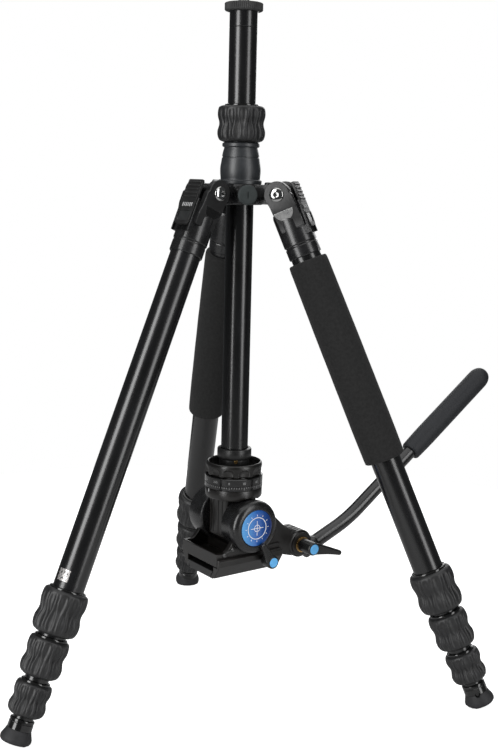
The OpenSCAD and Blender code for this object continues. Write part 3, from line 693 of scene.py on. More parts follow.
def add_shoulder(leg, place):
    """Forked casting: two cheeks round the apex arm, a barrel, and the clamping socket below it."""
    body = leg + "_leg"
    cheek = arc(0, 0, 10.8, 200, -10, 24) + [(12, -4), (12, -30.5), (-8.5, -30.5), (-9.4, -8)]
    shells = []
    for sign in (1, -1):
        low, high = sorted((sign * 10.5, sign * 15.9))
        shells.append(moved(prism(cheek, low, high), ACROSS))
    cheeks = piece(leg + "_cheeks", shells, FLAT_CASTING, body, place, bevel=0.7, steps=3,
                   sharp=28)
    slope = [(15.95, -13.5), (13.3, -23), (13.3, -45), (30, -45), (30, -13.5)]
    stand = Matrix.Rotation(math.radians(90), 4, "Z") @ Matrix.Rotation(math.radians(90), 4, "X")
    cut(cheeks, [moved(prism([(s * y, z) for y, z in slope[::s]], -20, 20), stand) for s in (1, -1)], place)
    cheeks.data.set_sharp_from_angle(angle=math.radians(28))

    barrel = [(0, -13), (11, -13), (13.4, -14.5), (14.15, -17), (14.2, -42.6), (13.7, -43.4), (13.1, -43.6),
              (13.1, -44.4), (13.5, -44.6), (13.8, -45.2), (13.8, -53.2), (13.4, -53.9), (12.6, -54),
              (12.56, -53.4), (12.56, -32), (0, -32)]
    bridge = side_slab(rounded_box(-8.4, 12.2, -30.6, -12, 1.2, 3), 13.1)
    shell = piece(leg + "_barrel", [solid(barrel, 128), bridge], CASTING, body, place,
                  nodes=[leg + "_shoulder"], bevel=0.35, sharp=24)
    cut(shell, [block(TAB_X - 0.2, 20, -9.3, 9.3, -55, -4)], place)
    shell.data.set_sharp_from_angle(angle=math.radians(24))

    # Sloped half-moon facet below each cheek, and the bed that the angle tab slides on
    moons = []
    for sign in (1, -1):
        rim = arc(0, -14, 8.3, 180, 360, 20)
        rim = [(x, -14 + (z + 14) * 0.95) for x, z in rim]
        n = len(rim)
        points = [(x, sign * (15.9 + (z + 14) * 0.28), z) for x, z in rim]
        points += [(x, sign * 11, z) for x, z in rim]
        faces = [tuple(range(n)), tuple(range(2 * n - 1, n - 1, -1))]
        faces += [(k, (k + 1) % n, n + (k + 1) % n, n + k) for k in range(n)]
        moons.append((points, faces))
    # Painted reflection: the right leg's facet is bright steel, standing in for the soft box it reflects; the
    # other legs' facets stay gloss black
    piece(leg + "_facets", moons, STEEL if leg == "right" else GLOSS, body, place,
          bevel=0.15, sharp=30)
    bed = [block(9, TAB_X - 0.2, -10.6, 10.6, -38, -11.8)]
    bed += [block(TAB_X - 1, 14.9, s * 9.95 - 0.65, s * 9.95 + 0.65, -38, -10) for s in (1, -1)]
    piece(leg + "_tab_bed", bed, CASTING, body, place, bevel=0.45, steps=3, sharp=28)


TAB_X = 13.2
TAB_TOP = 5.5
TAB_END = -33.5


def add_angle_tab(leg, place):
    """Sliding stop: ridged thumb pad, a pale label, and a hollow with a rounded lip."""
    body = leg + "_tab"
    x = TAB_X
    # slabs drawn in (y, z) that stand along +X
    stand = Matrix.Rotation(math.radians(90), 4, "Z") @ Matrix.Rotation(math.radians(90), 4, "X")
    outline = rounded_box(-8.8, 8.8, TAB_END, TAB_TOP, (4.6, 4.6, 1.2, 1.2), 8)
    plate = moved(prism(outline, x + 0.05, x + 1.8), stand)
    pad = block(x + 1.7, x + 2.0, -8.2, 8.2, TAB_TOP - 17.6, TAB_TOP - 0.6)
    ridges = [side_slab(arc(x + 1.9, TAB_TOP - 2.6 - 3.1 * k, 0.8, -90, 90, 8), 7.6) for k in range(5)]
    lip_outer = rounded_box(-8.6, 8.6, TAB_END + 0.2, TAB_END + 12.6, (4.4, 4.4, 0.8, 0.8), 8)
    wall = 1.5
    hollow = rounded_box(-8.6 + wall, 8.6 - wall, TAB_END + 3.6, TAB_END + 11.7, (3.2, 3.2, 0.6, 0.6), 8)
    n = len(lip_outer)
    points = [(y, z, h) for h in (x + 1.7, x + 2.6) for y, z in lip_outer]
    points += [(y, z, h) for h in (x + 1.7, x + 2.6) for y, z in hollow]
    faces = []
    for k in range(n):
        j = (k + 1) % n
        faces += [(k, j, n + j, n + k), (2 * n + j, 2 * n + k, 3 * n + k, 3 * n + j),
                  (n + k, n + j, 3 * n + j, 3 * n + k), (j, k, 2 * n + k, 2 * n + j)]
    frame_rim = moved((points, faces), stand)
    piece(leg + "_tab_slide", [plate, pad, frame_rim] + ridges, PLASTIC, body, place,
          nodes=[leg + "_angle_tab"], bevel=0.3, steps=2, sharp=30)
    tray = moved(prism(hollow, x + 1.75, x + 2.0), stand)
    # Painted reflection: the hollow's floor is a bright metal slab for its glint, chrome on the left leg and
    # steel on the others
    piece(leg + "_tab_tray", [tray], CHROME if leg == "left" else STEEL, body, place, bevel=0.1)
    bars = [block(x + 1.8, x + 2.3, y - 0.55, y + 0.55, TAB_TOP - 23.6 + 0.4 * (k % 2), TAB_TOP - 20.2)
            for k, y in enumerate((-5.2, -3.1, -1.0, 1.1, 3.2, 5.3))]
    piece(leg + "_tab_label", bars, MARK, body, place, bevel=0.1)


def add_leg(leg):
    place = leg_place(leg)
    add_shoulder(leg, place)
    add_angle_tab(leg, place)
    add_tubes(leg, place)
    for k, (top, end, r) in enumerate(LOCKS):
        add_lock(f"{leg}_lock_{k + 1}", f"{leg}_lock_{k + 1}", place, -end, -top, r, TUBE_R[k], TUBE_R[k + 1])
    add_foot(leg, place)
    if leg != "left":
        add_foam(leg, place)


def add_sticker():
    """Small square foil sticker wrapped on the left leg above its first lock."""
    place = leg_place("left")
    n, r = 10, TUBE_R[0]
    outer = [(r + 0.12, math.radians(-6 + 46 * k / n)) for k in range(n + 1)]
    inner = [(r + 0.02, a) for _, a in reversed(outer)]
    ring = [(d * math.cos(a), d * math.sin(a)) for d, a in outer + inner]
    sticker = [prism(ring, -327.8, -318.6)]
    piece("left_sticker", sticker, FOIL, "left_leg", place, sharp=40)
    marks = []
    for a, z, w, h in ((6, -321.4, 5, 1.7), (18, -320.9, 3.4, 2.3), (31, -321.9, 4, 1.2), (15, -325.6, 9, 1)):
        shell = block(r + 0.1, r + 0.2, -w / 2 * 0.22, w / 2 * 0.22, z - h / 2, z + h / 2)
        marks.append(turned(shell, a))
    piece("left_sticker_marks", marks, PLASTIC, "left_leg", place, sharp=40)


# ---------------------------------------------------------------- apex, collar and column

def add_apex():
    """Hub with three arms, the accessory port on its front and a small stop lug on the right arm."""
    hub = [(11.7, 407.6), (18.6, 407.6), (19.6, 408.8), (19.8, 411), (19.8, 420), (19.5, 422.4),
           (18.4, 424.2), (11.7, 424.2)]
    shells = [lathe(hub, 128)]
    lug = [(0, 0), (3.3, 0), (3.3, 2.0), (2.6, 3.0), (0, 3.3)]
    for leg in LEGS:
        hinge = leg_place(leg).translation / MM
        turn = math.degrees(math.atan2(hinge.y, hinge.x))
        reach, z = math.hypot(hinge.x, hinge.y), hinge.z
        side = [(0, z - 8.3), (reach, z - 8.3)] + arc(reach, z, 8.3, -80, 80, 14)
        side += [(reach, z + 7.7), (0, z + 7.7)]
        shells.append(turned(side_slab(side, 9.9), turn))
        web = side_slab([(12, z - 6.5), (reach - 10, z - 6.5), (reach - 10, z + 6), (12, z + 6)], 11.2)
        shells.append(turned(web, turn))
        if leg == "right":
            shells.append(turned(shifted(solid(lug, 24), 25.5, -3.5, z + 6.6), turn))
    for x in (-12.4, 12.4):
        shells.append(block(x - 0.9, x + 0.9, -19.6, -12, 409, 423))
    port = moved(solid([(0, 0), (7.4, 0), (7.9, 0.4), (8.1, 1.2), (8.1, 13.4), (0, 13.4)], 72),
                 Matrix.Translation((0, -28.4, 415.9)) @ Matrix.Rotation(math.radians(-90), 4, "X"))
    shells.append(port)
    piece("apex_casting", shells, CASTING, "mount", nodes=["apex"], bevel=0.5, steps=3,
          sharp=28)

    cap = [(0, 2.15), (3.2, 2.2), (6.6, 2.15), (7.2, 1.95), (7.9, 1.3), (8.1, 0.5), (8.1, 0), (0, 0)]
    slot = block(-0.5, 0.5, -2.6, 2.6, 1.6, 3)
    stand = Matrix.Translation((0, -28.5, 415.9)) @ Matrix.Rotation(math.radians(90), 4, "X")
    cover = piece("port_cover", [moved(solid(cap, 96), stand)], PORT, "mount",
                  nodes=["port_cap"], sharp=30)
    cut(cover, [moved(slot, stand)])
    cover.data.set_sharp_from_angle(angle=math.radians(30))


def add_collar():
    """Bell-shaped sleeve with a flange at its base and a fine groove below its neck."""
    low = 424.3
    profile = [(11.62, low), (17.5, low), (17.8, low + 0.4), (17.8, low + 2.7), (17.4, low + 3.2),
               (16.5, low + 3.5), (16.3, low + 4.2)]
    for k in range(25):
        t = k / 24
        swell = 0.45 * math.sin(math.pi * min(1, t * 1.25)) - 2.4 * max(0, t - 0.45) ** 1.8
        profile.append((16.35 + swell, low + 4.6 + 16.4 * t))
    r_top = profile[-1][0]
    profile += [(r_top - 0.25, low + 21.3), (r_top - 0.7, low + 21.4), (r_top - 0.7, low + 22.1),
                (r_top - 0.15, low + 22.2), (r_top - 0.2, low + 22.6)]
    for k in range(1, 9):
        t = k / 8
        profile.append((r_top - 0.2 - 1.5 * t ** 1.3, low + 22.6 + 6.5 * t))
    profile += [(13.8, 453.9), (14.7, 454.2), (15.3, 454.7), (15.4, 455.3), (15.4, 456.6), (15.1, 457.3),
                (14.4, 457.7), (13.9, 458.1), (11.62, 458.1)]
    piece("collar_bell", [lathe(profile, 160)], COLLAR, "mount", nodes=["column_collar"],
          sharp=34)


def knurled(count, depth, outer):
    """Radius function of a rim with rounded axial knurls."""
    def shape(angle, radius, height):
        if radius < outer - 0.05:
            return radius
        return radius - depth * (0.5 - 0.5 * math.cos(count * angle)) ** 1.6
    return shape


def thread(pitch, depth, core):
    """Radius function of a screw thread; points closer to the axis than core are left alone."""
    def shape(angle, radius, height):
        if radius < core:
            return radius
        wave = (height / pitch - angle / (2 * math.pi)) % 1.0
        return radius - depth * (2 * wave if wave < 0.5 else 2 - 2 * wave)
    return shape


def add_column():
    r, wall = COLUMN_R, 1.5
    tube = [(r - 0.2, 184), (r, 184.2), (r, COLUMN_TOP - 0.25), (r - 0.25, COLUMN_TOP),
            (r - wall + 0.2, COLUMN_TOP), (r - wall, COLUMN_TOP - 0.2), (r - wall, 184.2),
            (r - wall + 0.2, 184)]
    piece("column_tube", [lathe(tube, 160)], TUBE, "column", nodes=["centre_column"],
          sharp=40)

    sleeve = [(0, 532), (9.9, 532), (9.9, COLUMN_TOP + 0.1), (r - 0.3, COLUMN_TOP + 0.12),
              (r - 0.02, COLUMN_TOP + 0.5), (r - 0.02, 560.8), (r + 0.5, 562.1), (0, 562.1)]
    piece("end_sleeve", [solid(sleeve, 160)], TUBE, "column", nodes=["top_disc"], sharp=34)
    rim, base, top = 15.6, 562.0, 568.95
    wheel = [(0, base), (rim - 1.6, base), (rim - 0.6, base + 0.35), (rim, base + 1.1)]
    wheel += [(rim, base + 1.1 + (5.0) * k / 6) for k in range(1, 7)]
    wheel += [(rim - 0.5, top - 0.45), (rim - 1.3, top - 0.15), (13.4, top - 0.1), (13.2, top - 0.5),
              (0, top - 0.5)]
    piece("end_wheel", [solid(wheel, 56 * 6, knurled(56, 0.55, rim))], DISC, "column", sharp=50)
    plate = [(5.2, top - 0.55), (12.8, top - 0.55), (13.05, top - 0.3), (12.9, top), (5.4, top),
             (5.2, top - 0.2)]
    piece("end_plate", [lathe(plate, 96)], STEEL, "column", sharp=30)

    stud = [(0, 564.1), (4.3, 564.1), (4.3, 569)]
    stud += [(4.74, 569 + 0.2 * k) for k in range(1, 41)]
    stud += [(4.2, 577.6), (3.9, 578), (0, 578)]
    piece("threaded_stud", [solid(stud, 48, thread(1.5875, 0.55, 4.3))], STEEL, "column",
          nodes=["top_stud"], sharp=55)

    foot = [(11.6, 182), (13.0, 182), (13.2, 182.3), (13.2, 191.2), (13.7, 191.9), (14.4, 192.2),
            (14.7, 192.8), (14.7, 199.4), (14.3, 200.2), (13.6, 200.5), (12.2, 200.5), (11.8, 200.1),
            (11.6, 199.4)]
    floor_plate = [(0, 180.25), (12.8, 180.25), (13.2, 180.7), (13.2, 183.9), (0, 183.9)]
    piece("column_socket", [lathe(foot, 128), solid(floor_plate, 96)], PLASTIC, "column",
          nodes=["column_foot"], sharp=34)
    screw = moved(solid([(0, 0), (1.7, 0), (1.7, 0.5), (1.3, 0.9), (0.6, 0.9), (0.5, 0.3), (0, 0.3)], 24),
                  Matrix.Rotation(math.radians(-96), 4, "Z") @ Matrix.Translation((13.0, 0, 190.2))
                  @ Matrix.Rotation(math.radians(90), 4, "Y"))
    piece("socket_set_screw", [screw], BRASS, "column", sharp=30)


# ---------------------------------------------------------------- head base

SCALLOPS = 11
FIRST_SCALLOP = -113     # direction of one finger hollow, in degrees


def scalloped(angle, radius, height):
    """Finger hollows with rounded tops in the lower part of the cup's wall."""
    if radius < 22.5:
        return radius
    pitch = 360 / SCALLOPS
    off = (math.degrees(angle) - FIRST_SCALLOP + pitch / 2) % pitch - pitch / 2
    rise = max(0.0, (height - 181.6) / 3.8)
    inside = 1 - (off / 11.5) ** 2 - rise ** 2
    return radius - 1.7 * max(0.0, inside) ** 0.5 * min(1, max(0, (height - 177.8) / 0.5))


FIRST_NUMBER = -111      # direction of the scale's zero, in degrees


def add_base():
    """Scalloped cup, graduated ring and the fixed marks on them."""
    cup = [(0, 178.0), (22.6, 178.0), (23.5, 178.3), (24.0, 179)]
    cup += [(24.15, 179.4 + 0.3 * k) for k in range(24)]
    cup += [(24.1, 187), (23.8, 188.1), (23.2, 188.8), (22.6, 189), (22.0, 188.7), (21.6, 187.9),
            (21.4, 186.5), (21.4, 180.9), (20.9, 180.3), (0, 180.2)]
    piece("base_cup", [solid(cup, SCALLOPS * 30, scalloped)], HEAD, "column",
          nodes=["head_base_ring"], sharp=42)
    ring = [(8.1, 167.35), (24.8, 167.35), (25, 167.5), (25, 171.1), (24.7, 171.25), (24.7, 171.5),
            (25, 171.65), (25, 177.1), (24.5, 177.7), (8.1, 177.75)]
    piece("degree_ring", [lathe(ring, 160)], HEAD_GLOSS, "column", nodes=["scale_ring"],
          sharp=34)
    ticks = []
    for k in range(72):
        long = k % 6 == 0
        tick = block(24.95, 25.02, -0.13, 0.13, 168.6 if long else 169.5, 170.8)
        ticks.append(turned(tick, 5 * k + FIRST_NUMBER))
    piece("degree_ticks", ticks, MARK, "column", sharp=30)
    numbers = []
    for k in range(12):
        numbers.append(wrapped_text(str(30 * k), 2.0, 25.03, 30 * k + FIRST_NUMBER, 173.2))
    piece("degree_numbers", numbers, MARK, "column", sharp=30)


def wrapped_text(text, height, radius, azimuth, z):
    """Number of a given cap height wrapped on a cylinder about Z, as a thin raised shell."""
    curve = bpy.data.curves.new("number", "FONT")
    curve.body = text
    curve.align_x = "CENTER"
    curve.size = height / 0.7
    curve.extrude = 0.03
    curve.resolution_u = 3
    holder = bpy.data.objects.new("number", curve)
    bpy.context.scene.collection.objects.link(holder)
    bpy.context.view_layer.update()
    mesh = bpy.data.meshes.new_from_object(holder.evaluated_get(bpy.context.evaluated_depsgraph_get()))
    points = []
    for vertex in mesh.vertices:
        x, y, h = vertex.co
        angle = math.radians(azimuth) + x / radius
        points.append(((radius + h) * math.cos(angle), (radius + h) * math.sin(angle), z + y))
    faces = [tuple(p.vertices) for p in mesh.polygons]
    bpy.data.objects.remove(holder)
    bpy.data.curves.remove(curve)
    bpy.data.meshes.remove(mesh)
    return points, faces


def add_pan():
    """Round housing, hollowed where the two tilt drums turn, and the flat-sided post between the drums."""
    housing = [(0, 158.1), (22.8, 158.1), (23.8, 158.4), (24.4, 159.2), (24.6, 160.2), (24.6, 166.4),
               (24.4, 166.9), (8, 167), (8, 176.9), (0, 177)]
    cap = piece("pan_cap", [solid(housing, 160)], HEAD, "pan", nodes=["pan_housing"], sharp=34)
    cut(cap, [on_v([(0, -27), (23.4, -27), (23.4, 27), (0, 27)], 0, TILT_Z, 0, 160)], HEAD_AT)
    cap.data.set_sharp_from_angle(angle=math.radians(34))
    side = math.degrees(math.acos(15 / 20.4))
    outline = arc(0, TILT_Z, 20.4, side - 180, -side, 24) + [(15, 164), (-15, 164)]
    shells = [prism(outline, -14.45, 12.45)]
    for v in (-12.4, -8.6, -1.2, 4.6, 10.4):
        shells.append(block(-15.45, 15.45, TILT_Z - 12, 163, v - 0.8, v + 0.8))
    piece("tilt_post", shells, HEAD, "pan", HEAD_AT, bevel=0.35, sharp=34)
    boss = [(0, 20), (4.4, 20), (4.4, 30.2), (3.9, 30.7), (0, 30.8)]
    axis = Vector(JOINTS["pan_lock_turn"]["axis"]).normalized()
    stand = axis.to_track_quat("Z", "Y").to_matrix().to_4x4()
    stand.translation = Vector((0, 0, 162.4 * MM))
    piece("pan_lock_boss", [solid(boss, 64)], HEAD, "pan", stand, sharp=34)
    mark = turned(block(24.55, 24.66, -0.6, 0.6, 164.0, 166.3), -161.5)
    piece("pan_index", [mark], EMBLEM, "pan", sharp=30)


# ---------------------------------------------------------------- tilt body, clamp and levers

def web_outline(drum_r, boss_r, drum_gap=0.0, boss_gap=0.0):
    """Outline of the web: its top line runs from the drum to the middle of the handle boss, its lower line
    under both. A gap radius replaces one of its two ends with a hollow about that centre."""
    dx, dz = BOSS_U, BOSS_Z - TILT_Z
    span = math.hypot(dx, dz)
    line = math.degrees(math.atan2(dz, dx))
    end_r = 1.0
    up = line + math.degrees(math.acos((drum_r - end_r) / span))
    down = line - math.degrees(math.acos((drum_r - boss_r) / span))
    if drum_gap:
        inset = math.degrees(math.acos(drum_r / drum_gap))
        drum = arc(0, TILT_Z, drum_gap, up - inset, down + inset, 40)
    else:
        drum = arc(0, TILT_Z, drum_r, up, down + 360, 40)
    if boss_gap:
        low_end = down - math.degrees(math.acos(boss_r / boss_gap))
        high_end = up + math.degrees(math.acos(end_r / boss_gap)) - 360
        boss = arc(BOSS_U, BOSS_Z, boss_gap, low_end, high_end, 30)
    else:
        boss = [(BOSS_U + r * math.cos(math.radians(a)), BOSS_Z + r * math.sin(math.radians(a)))
                for r, a in ((boss_r, down), (end_r, up))]
    return drum + boss


def along_u(outline, u0, u1):
    """Bar of a (v, height) outline along the handle's direction."""
    stand = Matrix(((0, 0, 1, 0), (0, 1, 0, 0), (1, 0, 0, 0), (0, 0, 0, 1)))
    return moved(prism(outline, u0, u1), stand)


def add_tilt_body():
    """Two drums on one shaft, the web down to the handle joint and the clamp's tray."""
    left = [(0, 0), (20.4, 0), (21.9, 0.35), (22.7, 0.9), (23, 1.8), (23, 18.9), (22.5, 19.9), (21.6, 20.5),
            (0, 20.5)]
    right = [(0, 0), (21.0, 0), (21.6, 0.5), (21.7, 13.2), (21.9, 14.0), (22.5, 14.4), (22.9, 14.8),
             (23, 15.4), (23, 17.2), (22.8, 18.6), (22.3, 19.9), (21.5, 21.1), (20.5, 22.0), (19.3, 22.6),
             (18, 22.9), (16.6, 23.0), (16.0, 22.6), (15.8, 21.9), (0, 21.9)]
    drums = [on_v(left, 0, TILT_Z, -35.5, 160), on_v(right, 0, TILT_Z, 13, 160)]
    piece("tilt_drums", drums, CASTING, "tilt", HEAD_AT, nodes=["tilt_body"], sharp=30)

    web = [prism(web_outline(21.4, 11.6, 0, 13.05), 13.2, 23.6),
           prism(web_outline(21.2, 11.8, 21.45), 0.6, 13.0)]
    boss = [(0, 0.55), (11.4, 0.55), (12.2, 1.4), (12.2, 4.4), (11.7, 4.9), (11.7, 6.0), (12.2, 6.5),
            (12.2, 9.6), (11.7, 10.1), (11.7, 11.2), (12.2, 11.7), (12.2, 12.6), (11.8, 13.0), (0, 13.0)]
    web.append(on_v(boss, BOSS_U, BOSS_Z, 0, 96))
    piece("tilt_web", web, HEAD, "tilt", HEAD_AT, bevel=0.5, steps=3, sharp=30)

    # Tray of the clamp, drawn in (v, height) and run along the handle's direction
    bed = [(-28.3, 114.2), (-26.2, 116.3), (25.4, 116.3), (25.4, 105), (-19.6, 105), (-19.6, 99.4),
           (-16.9, 96.6), (-16.9, 94.5), (-21, 94.5), (-28.3, 105)]
    tray = piece("clamp_bed", [along_u(bed, -33.4, 33.4)], HEAD, "tilt", HEAD_AT, bevel=0.6,
                 steps=3, sharp=28)
    pocket = along_u([(-24.6, 108.6), (21.6, 108.6), (21.6, 120), (-24.6, 120)], -31.6, -9)
    cut(tray, [pocket], HEAD_AT)
    rise = [(-33, 112.8), (-33, 116)] + [(-28.6 + 1.5 * k, 116 + 0.09 * k ** 2.35) for k in range(8)]
    rise += [(-16.6, 126), (-9, 126), (-9, 112.8)]
    cheeks = [prism(rise, -28.6, -24.2), prism(rise, 21.2, 25.9)]
    piece("tray_cheeks", cheeks, HEAD, "tilt", HEAD_AT, bevel=0.7, steps=3, sharp=28)
    catch = [(-26.0, 114.9, 26.5), (-24.6, 116.6, 26.5), (-22.2, 117.8, 26.5), (-19.6, 118.2, 26.5),
             (-17, 119.2, 26.5)]
    piece("tray_catch", [sweep(catch, 0.62, 16)], LEVER, "tilt", HEAD_AT, sharp=50)


def add_badge():
    """Domed blue disc with a plain white ring and cross, and short marks round them."""
    face = [(0, 0), (15.4, 0), (15.6, 0.25), (15.6, 0.75)]
    face += [(15.4 * math.cos(math.radians(a)), 0.75 + 0.42 * math.sin(math.radians(a)))
             for a in range(15, 90, 15)]
    face += [(0, 1.17)]
    place = HEAD_AT @ Matrix.Translation((0, TILT_Z * MM, 34.95 * MM))
    piece("badge_disc", [solid(face, 128)], BADGE, "tilt", place, nodes=["badge"], sharp=40)
    z0, z1 = 0.9, 1.24
    marks = [lathe([(9.0, z0), (9.6, z0), (9.6, z1), (9.0, z1)], 72)]
    marks.append(block(-6.4, 6.4, -0.25, 0.25, z0, z1))
    marks.append(block(-0.25, 0.25, -6.4, 6.4, z0, z1))
    marks.append(lathe([(2.6, z0), (3.1, z0), (3.1, z1), (2.6, z1)], 48))
    for a in range(0, 360, 30):
        marks.append(turned(block(10.6, 12.0, -0.2, 0.2, z0, z1 - 0.05), a))
    piece("badge_mark", marks, EMBLEM, "tilt", place, sharp=40)


def wing_shell(length, root, tip, z0, z1, bend=0.0):
    """Tapered lever wing in its own plane, from a round hub at the origin to a rounded tip on +X."""
    steps = 14
    upper, lower = [], []
    for k in range(steps + 1):
        t = k / steps
        x = (length - tip / 2) * t
        width = root * (1 - t) ** 1.25 + tip * (1 - (1 - t) ** 1.25)
        sag = bend * math.sin(math.pi * t)
        upper.append((x, sag + width / 2))
        lower.append((x, sag - width / 2))
    nose = arc(length - tip / 2, 0, tip / 2, -80, 80, 8)
    return prism(lower + nose + upper[::-1], z0, z1)


def add_lever(name, body, node, u, z, v0, v1, r, wing, angle, dot_r):
    """Clamping lever: barrel with a softened end, moulded wing, and a coloured end dot."""
    place = HEAD_AT @ Matrix.Translation((u * MM, z * MM, 0))
    barrel = [(0, v0), (r - 0.5, v0), (r, v0 + 0.5), (r, v1 - 1.6), (r - 0.25, v1 - 0.8),
              (r - 0.9, v1 - 0.25), (dot_r + 0.25, v1 - 0.1), (dot_r + 0.15, v1 - 0.5), (0, v1 - 0.5)]
    piece(name + "_barrel", [solid(barrel, 72)], LEVER, body, place, nodes=[node], sharp=40)
    piece(name + "_wing", [turned(wing, angle)], LEVER, body, place, bevel=1.5, steps=4, sharp=28)
    dot = [(0, v1 - 0.6), (dot_r, v1 - 0.6), (dot_r, v1 - 0.2), (dot_r - 0.3, v1 + 0.05), (0, v1 + 0.1)]
    piece(name + "_dot", [solid(dot, 48)], BLUE, body, place, sharp=30)


def add_levers():
    add_lever("clamp_knob", "clamp_lever", "clamp_lever", 15.4, 105.2, 29.55, 40.7, 5.8,
              wing_shell(21.5, 10.4, 5.4, 36.5, 40.4), 122, 4.2)
    add_lever("handle_knob", "handle_lever", "handle_lever", BOSS_U, BOSS_Z, 27.05, 43.5, 5.9,
              wing_shell(34, 11.4, 4.6, 36.4, 42.4, 0.4), -16, 4.5)
    stems = shifted(solid(disc(2.45, 9, 0.1), 32), 15.4, 105.2, 21)
    piece("clamp_knob_stem", [stems], STEEL, "clamp_lever", HEAD_AT, sharp=30)
    stem = shifted(solid(disc(2.95, 23.2, 0.1), 32), BOSS_U, BOSS_Z, 4)
    piece("handle_knob_stem", [stem], STEEL, "handle_lever", HEAD_AT, sharp=30)

    place = HEAD_AT @ Matrix.Translation((0, TILT_Z * MM, 0))
    barrel = [(0, -50), (5.6, -50), (6.6, -49.5), (7, -48.6), (7, -36.6), (6.5, -36.05), (3, -36), (3, -31),
              (0, -31)]
    piece("tilt_knob_barrel", [solid(barrel, 72)], LEVER, "tilt_lock", place,
          nodes=["tilt_lock"], sharp=40)
    piece("tilt_knob_wing", [turned(wing_shell(26, 11.4, 5.6, -49, -43), 35)], LEVER,
          "tilt_lock", place, bevel=1.5, steps=4, sharp=28)
    dot = [(0, -50.1), (4.3, -50.05), (4.5, -49.8), (4.5, -49.4), (0, -49.4)]
    piece("tilt_knob_dot", [solid(dot, 48)], BLUE, "tilt_lock", place, sharp=30)

    axis = Vector(JOINTS["pan_lock_turn"]["axis"]).normalized()
    up = Vector((0, 0, 1))
    place = Matrix((axis.cross(up) * -1, up, axis)).transposed().to_4x4()
    if place.to_3x3().determinant() < 0:
        place = Matrix((axis.cross(up), up, axis)).transposed().to_4x4()
    place.translation = Vector((0, 0, 162.4 * MM))
    barrel = [(0, 24.6), (2, 24.6), (2, 31), (5.4, 31), (6, 31.6), (6, 40.6), (5.6, 41.5), (4.8, 42), (0, 42)]
    piece("pan_knob_barrel", [solid(barrel, 72)], LEVER, "pan_lock", place, nodes=["pan_lock"],
          sharp=40)
    piece("pan_knob_wing", [turned(wing_shell(20, 9.4, 4.8, 35, 41), -25)], LEVER, "pan_lock",
          place, bevel=1.4, steps=4, sharp=28)


def add_clamp():
    """Moving jaw, the release plate, the camera screw and the two small screws above the jaw."""
    jaw = [(19.7, 104.6), (25.8, 104.6), (25.8, 112), (27.5, 112), (29, 110.5), (29, 106), (27.6, 103.5),
           (22, 94.5), (17, 94.5), (17, 96.6), (19.7, 99.4)]
    piece("jaw_bar", [along_u(jaw, -33.4, 33.4)], HEAD, "jaw", HEAD_AT, nodes=["clamp_jaw"],
          bevel=0.5, steps=3, sharp=28)
    socket = hexagon(1.05)
    screws = []
    for u, z in ((-26, 114.7), (-17.4, 118.6)):
        head = [(0, 23.2), (1.45, 23.2), (1.45, 25.95), (1.9, 26.0), (2.05, 26.2), (2.0, 26.6), (1.75, 26.85),
                (1.25, 26.98), (1.15, 26.6), (0, 26.6)]
        screws.append(on_v(head, u, z, 0, 36,
                           lambda a, r, h: socket(a) * r / 1.15 if h > 26.5 and r < 1.2 else r))
    piece("tray_screw_pair", screws, DULL, "tilt", HEAD_AT, nodes=["tray_screws"], sharp=40)

    plate = [(-19.3, 100.2), (-19.3, 99.6), (-16.6, 96.8), (-16.6, 94.2), (-19, 94.2), (-19, 93.6),
             (19, 93.6), (19, 94.2), (16.6, 94.2), (16.6, 96.8), (19.3, 99.6), (19.3, 100.2)]
    plate_obj = piece("quick_plate", [along_u(plate, -33.4, 33.4)], PLASTIC, "plate",
                      HEAD_AT, nodes=["release_plate"], bevel=0.3, sharp=28)
    holes = [solid([(0, 90), (3.5, 90), (3.5, 94.4), (2.95, 94.4), (2.95, 97.3), (7.1, 97.3), (7.1, 103),
                    (0, 103)], 48)]
    cut(plate_obj, holes)
    screw = [(0, 88.85), (2.6, 88.85), (3.1, 89.3)] + [(3.17, 89.3 + 0.14 * k) for k in range(1, 31)]
    screw += [(2.85, 93.6), (2.85, 97.4), (6.8, 97.42), (7, 97.7), (7, 99.4), (6.7, 99.7), (1.2, 99.7),
              (1.1, 98.9), (0, 98.9)]
    piece("mount_screw", [solid(screw, 48, thread(1.27, 0.4, 3.0))], STEEL, "camera_screw",
          nodes=["camera_screw"], sharp=55)


# ---------------------------------------------------------------- pan handle

HANDLE_V = 19.6
SLOPE_A = 22.5
SLOPE_B = 36.0
BEND_U = 115.0
BEND_R = 130.0
HANDLE_DROP = 10.6
GRIP_START = 91.5
GRIP_LENGTH = 117


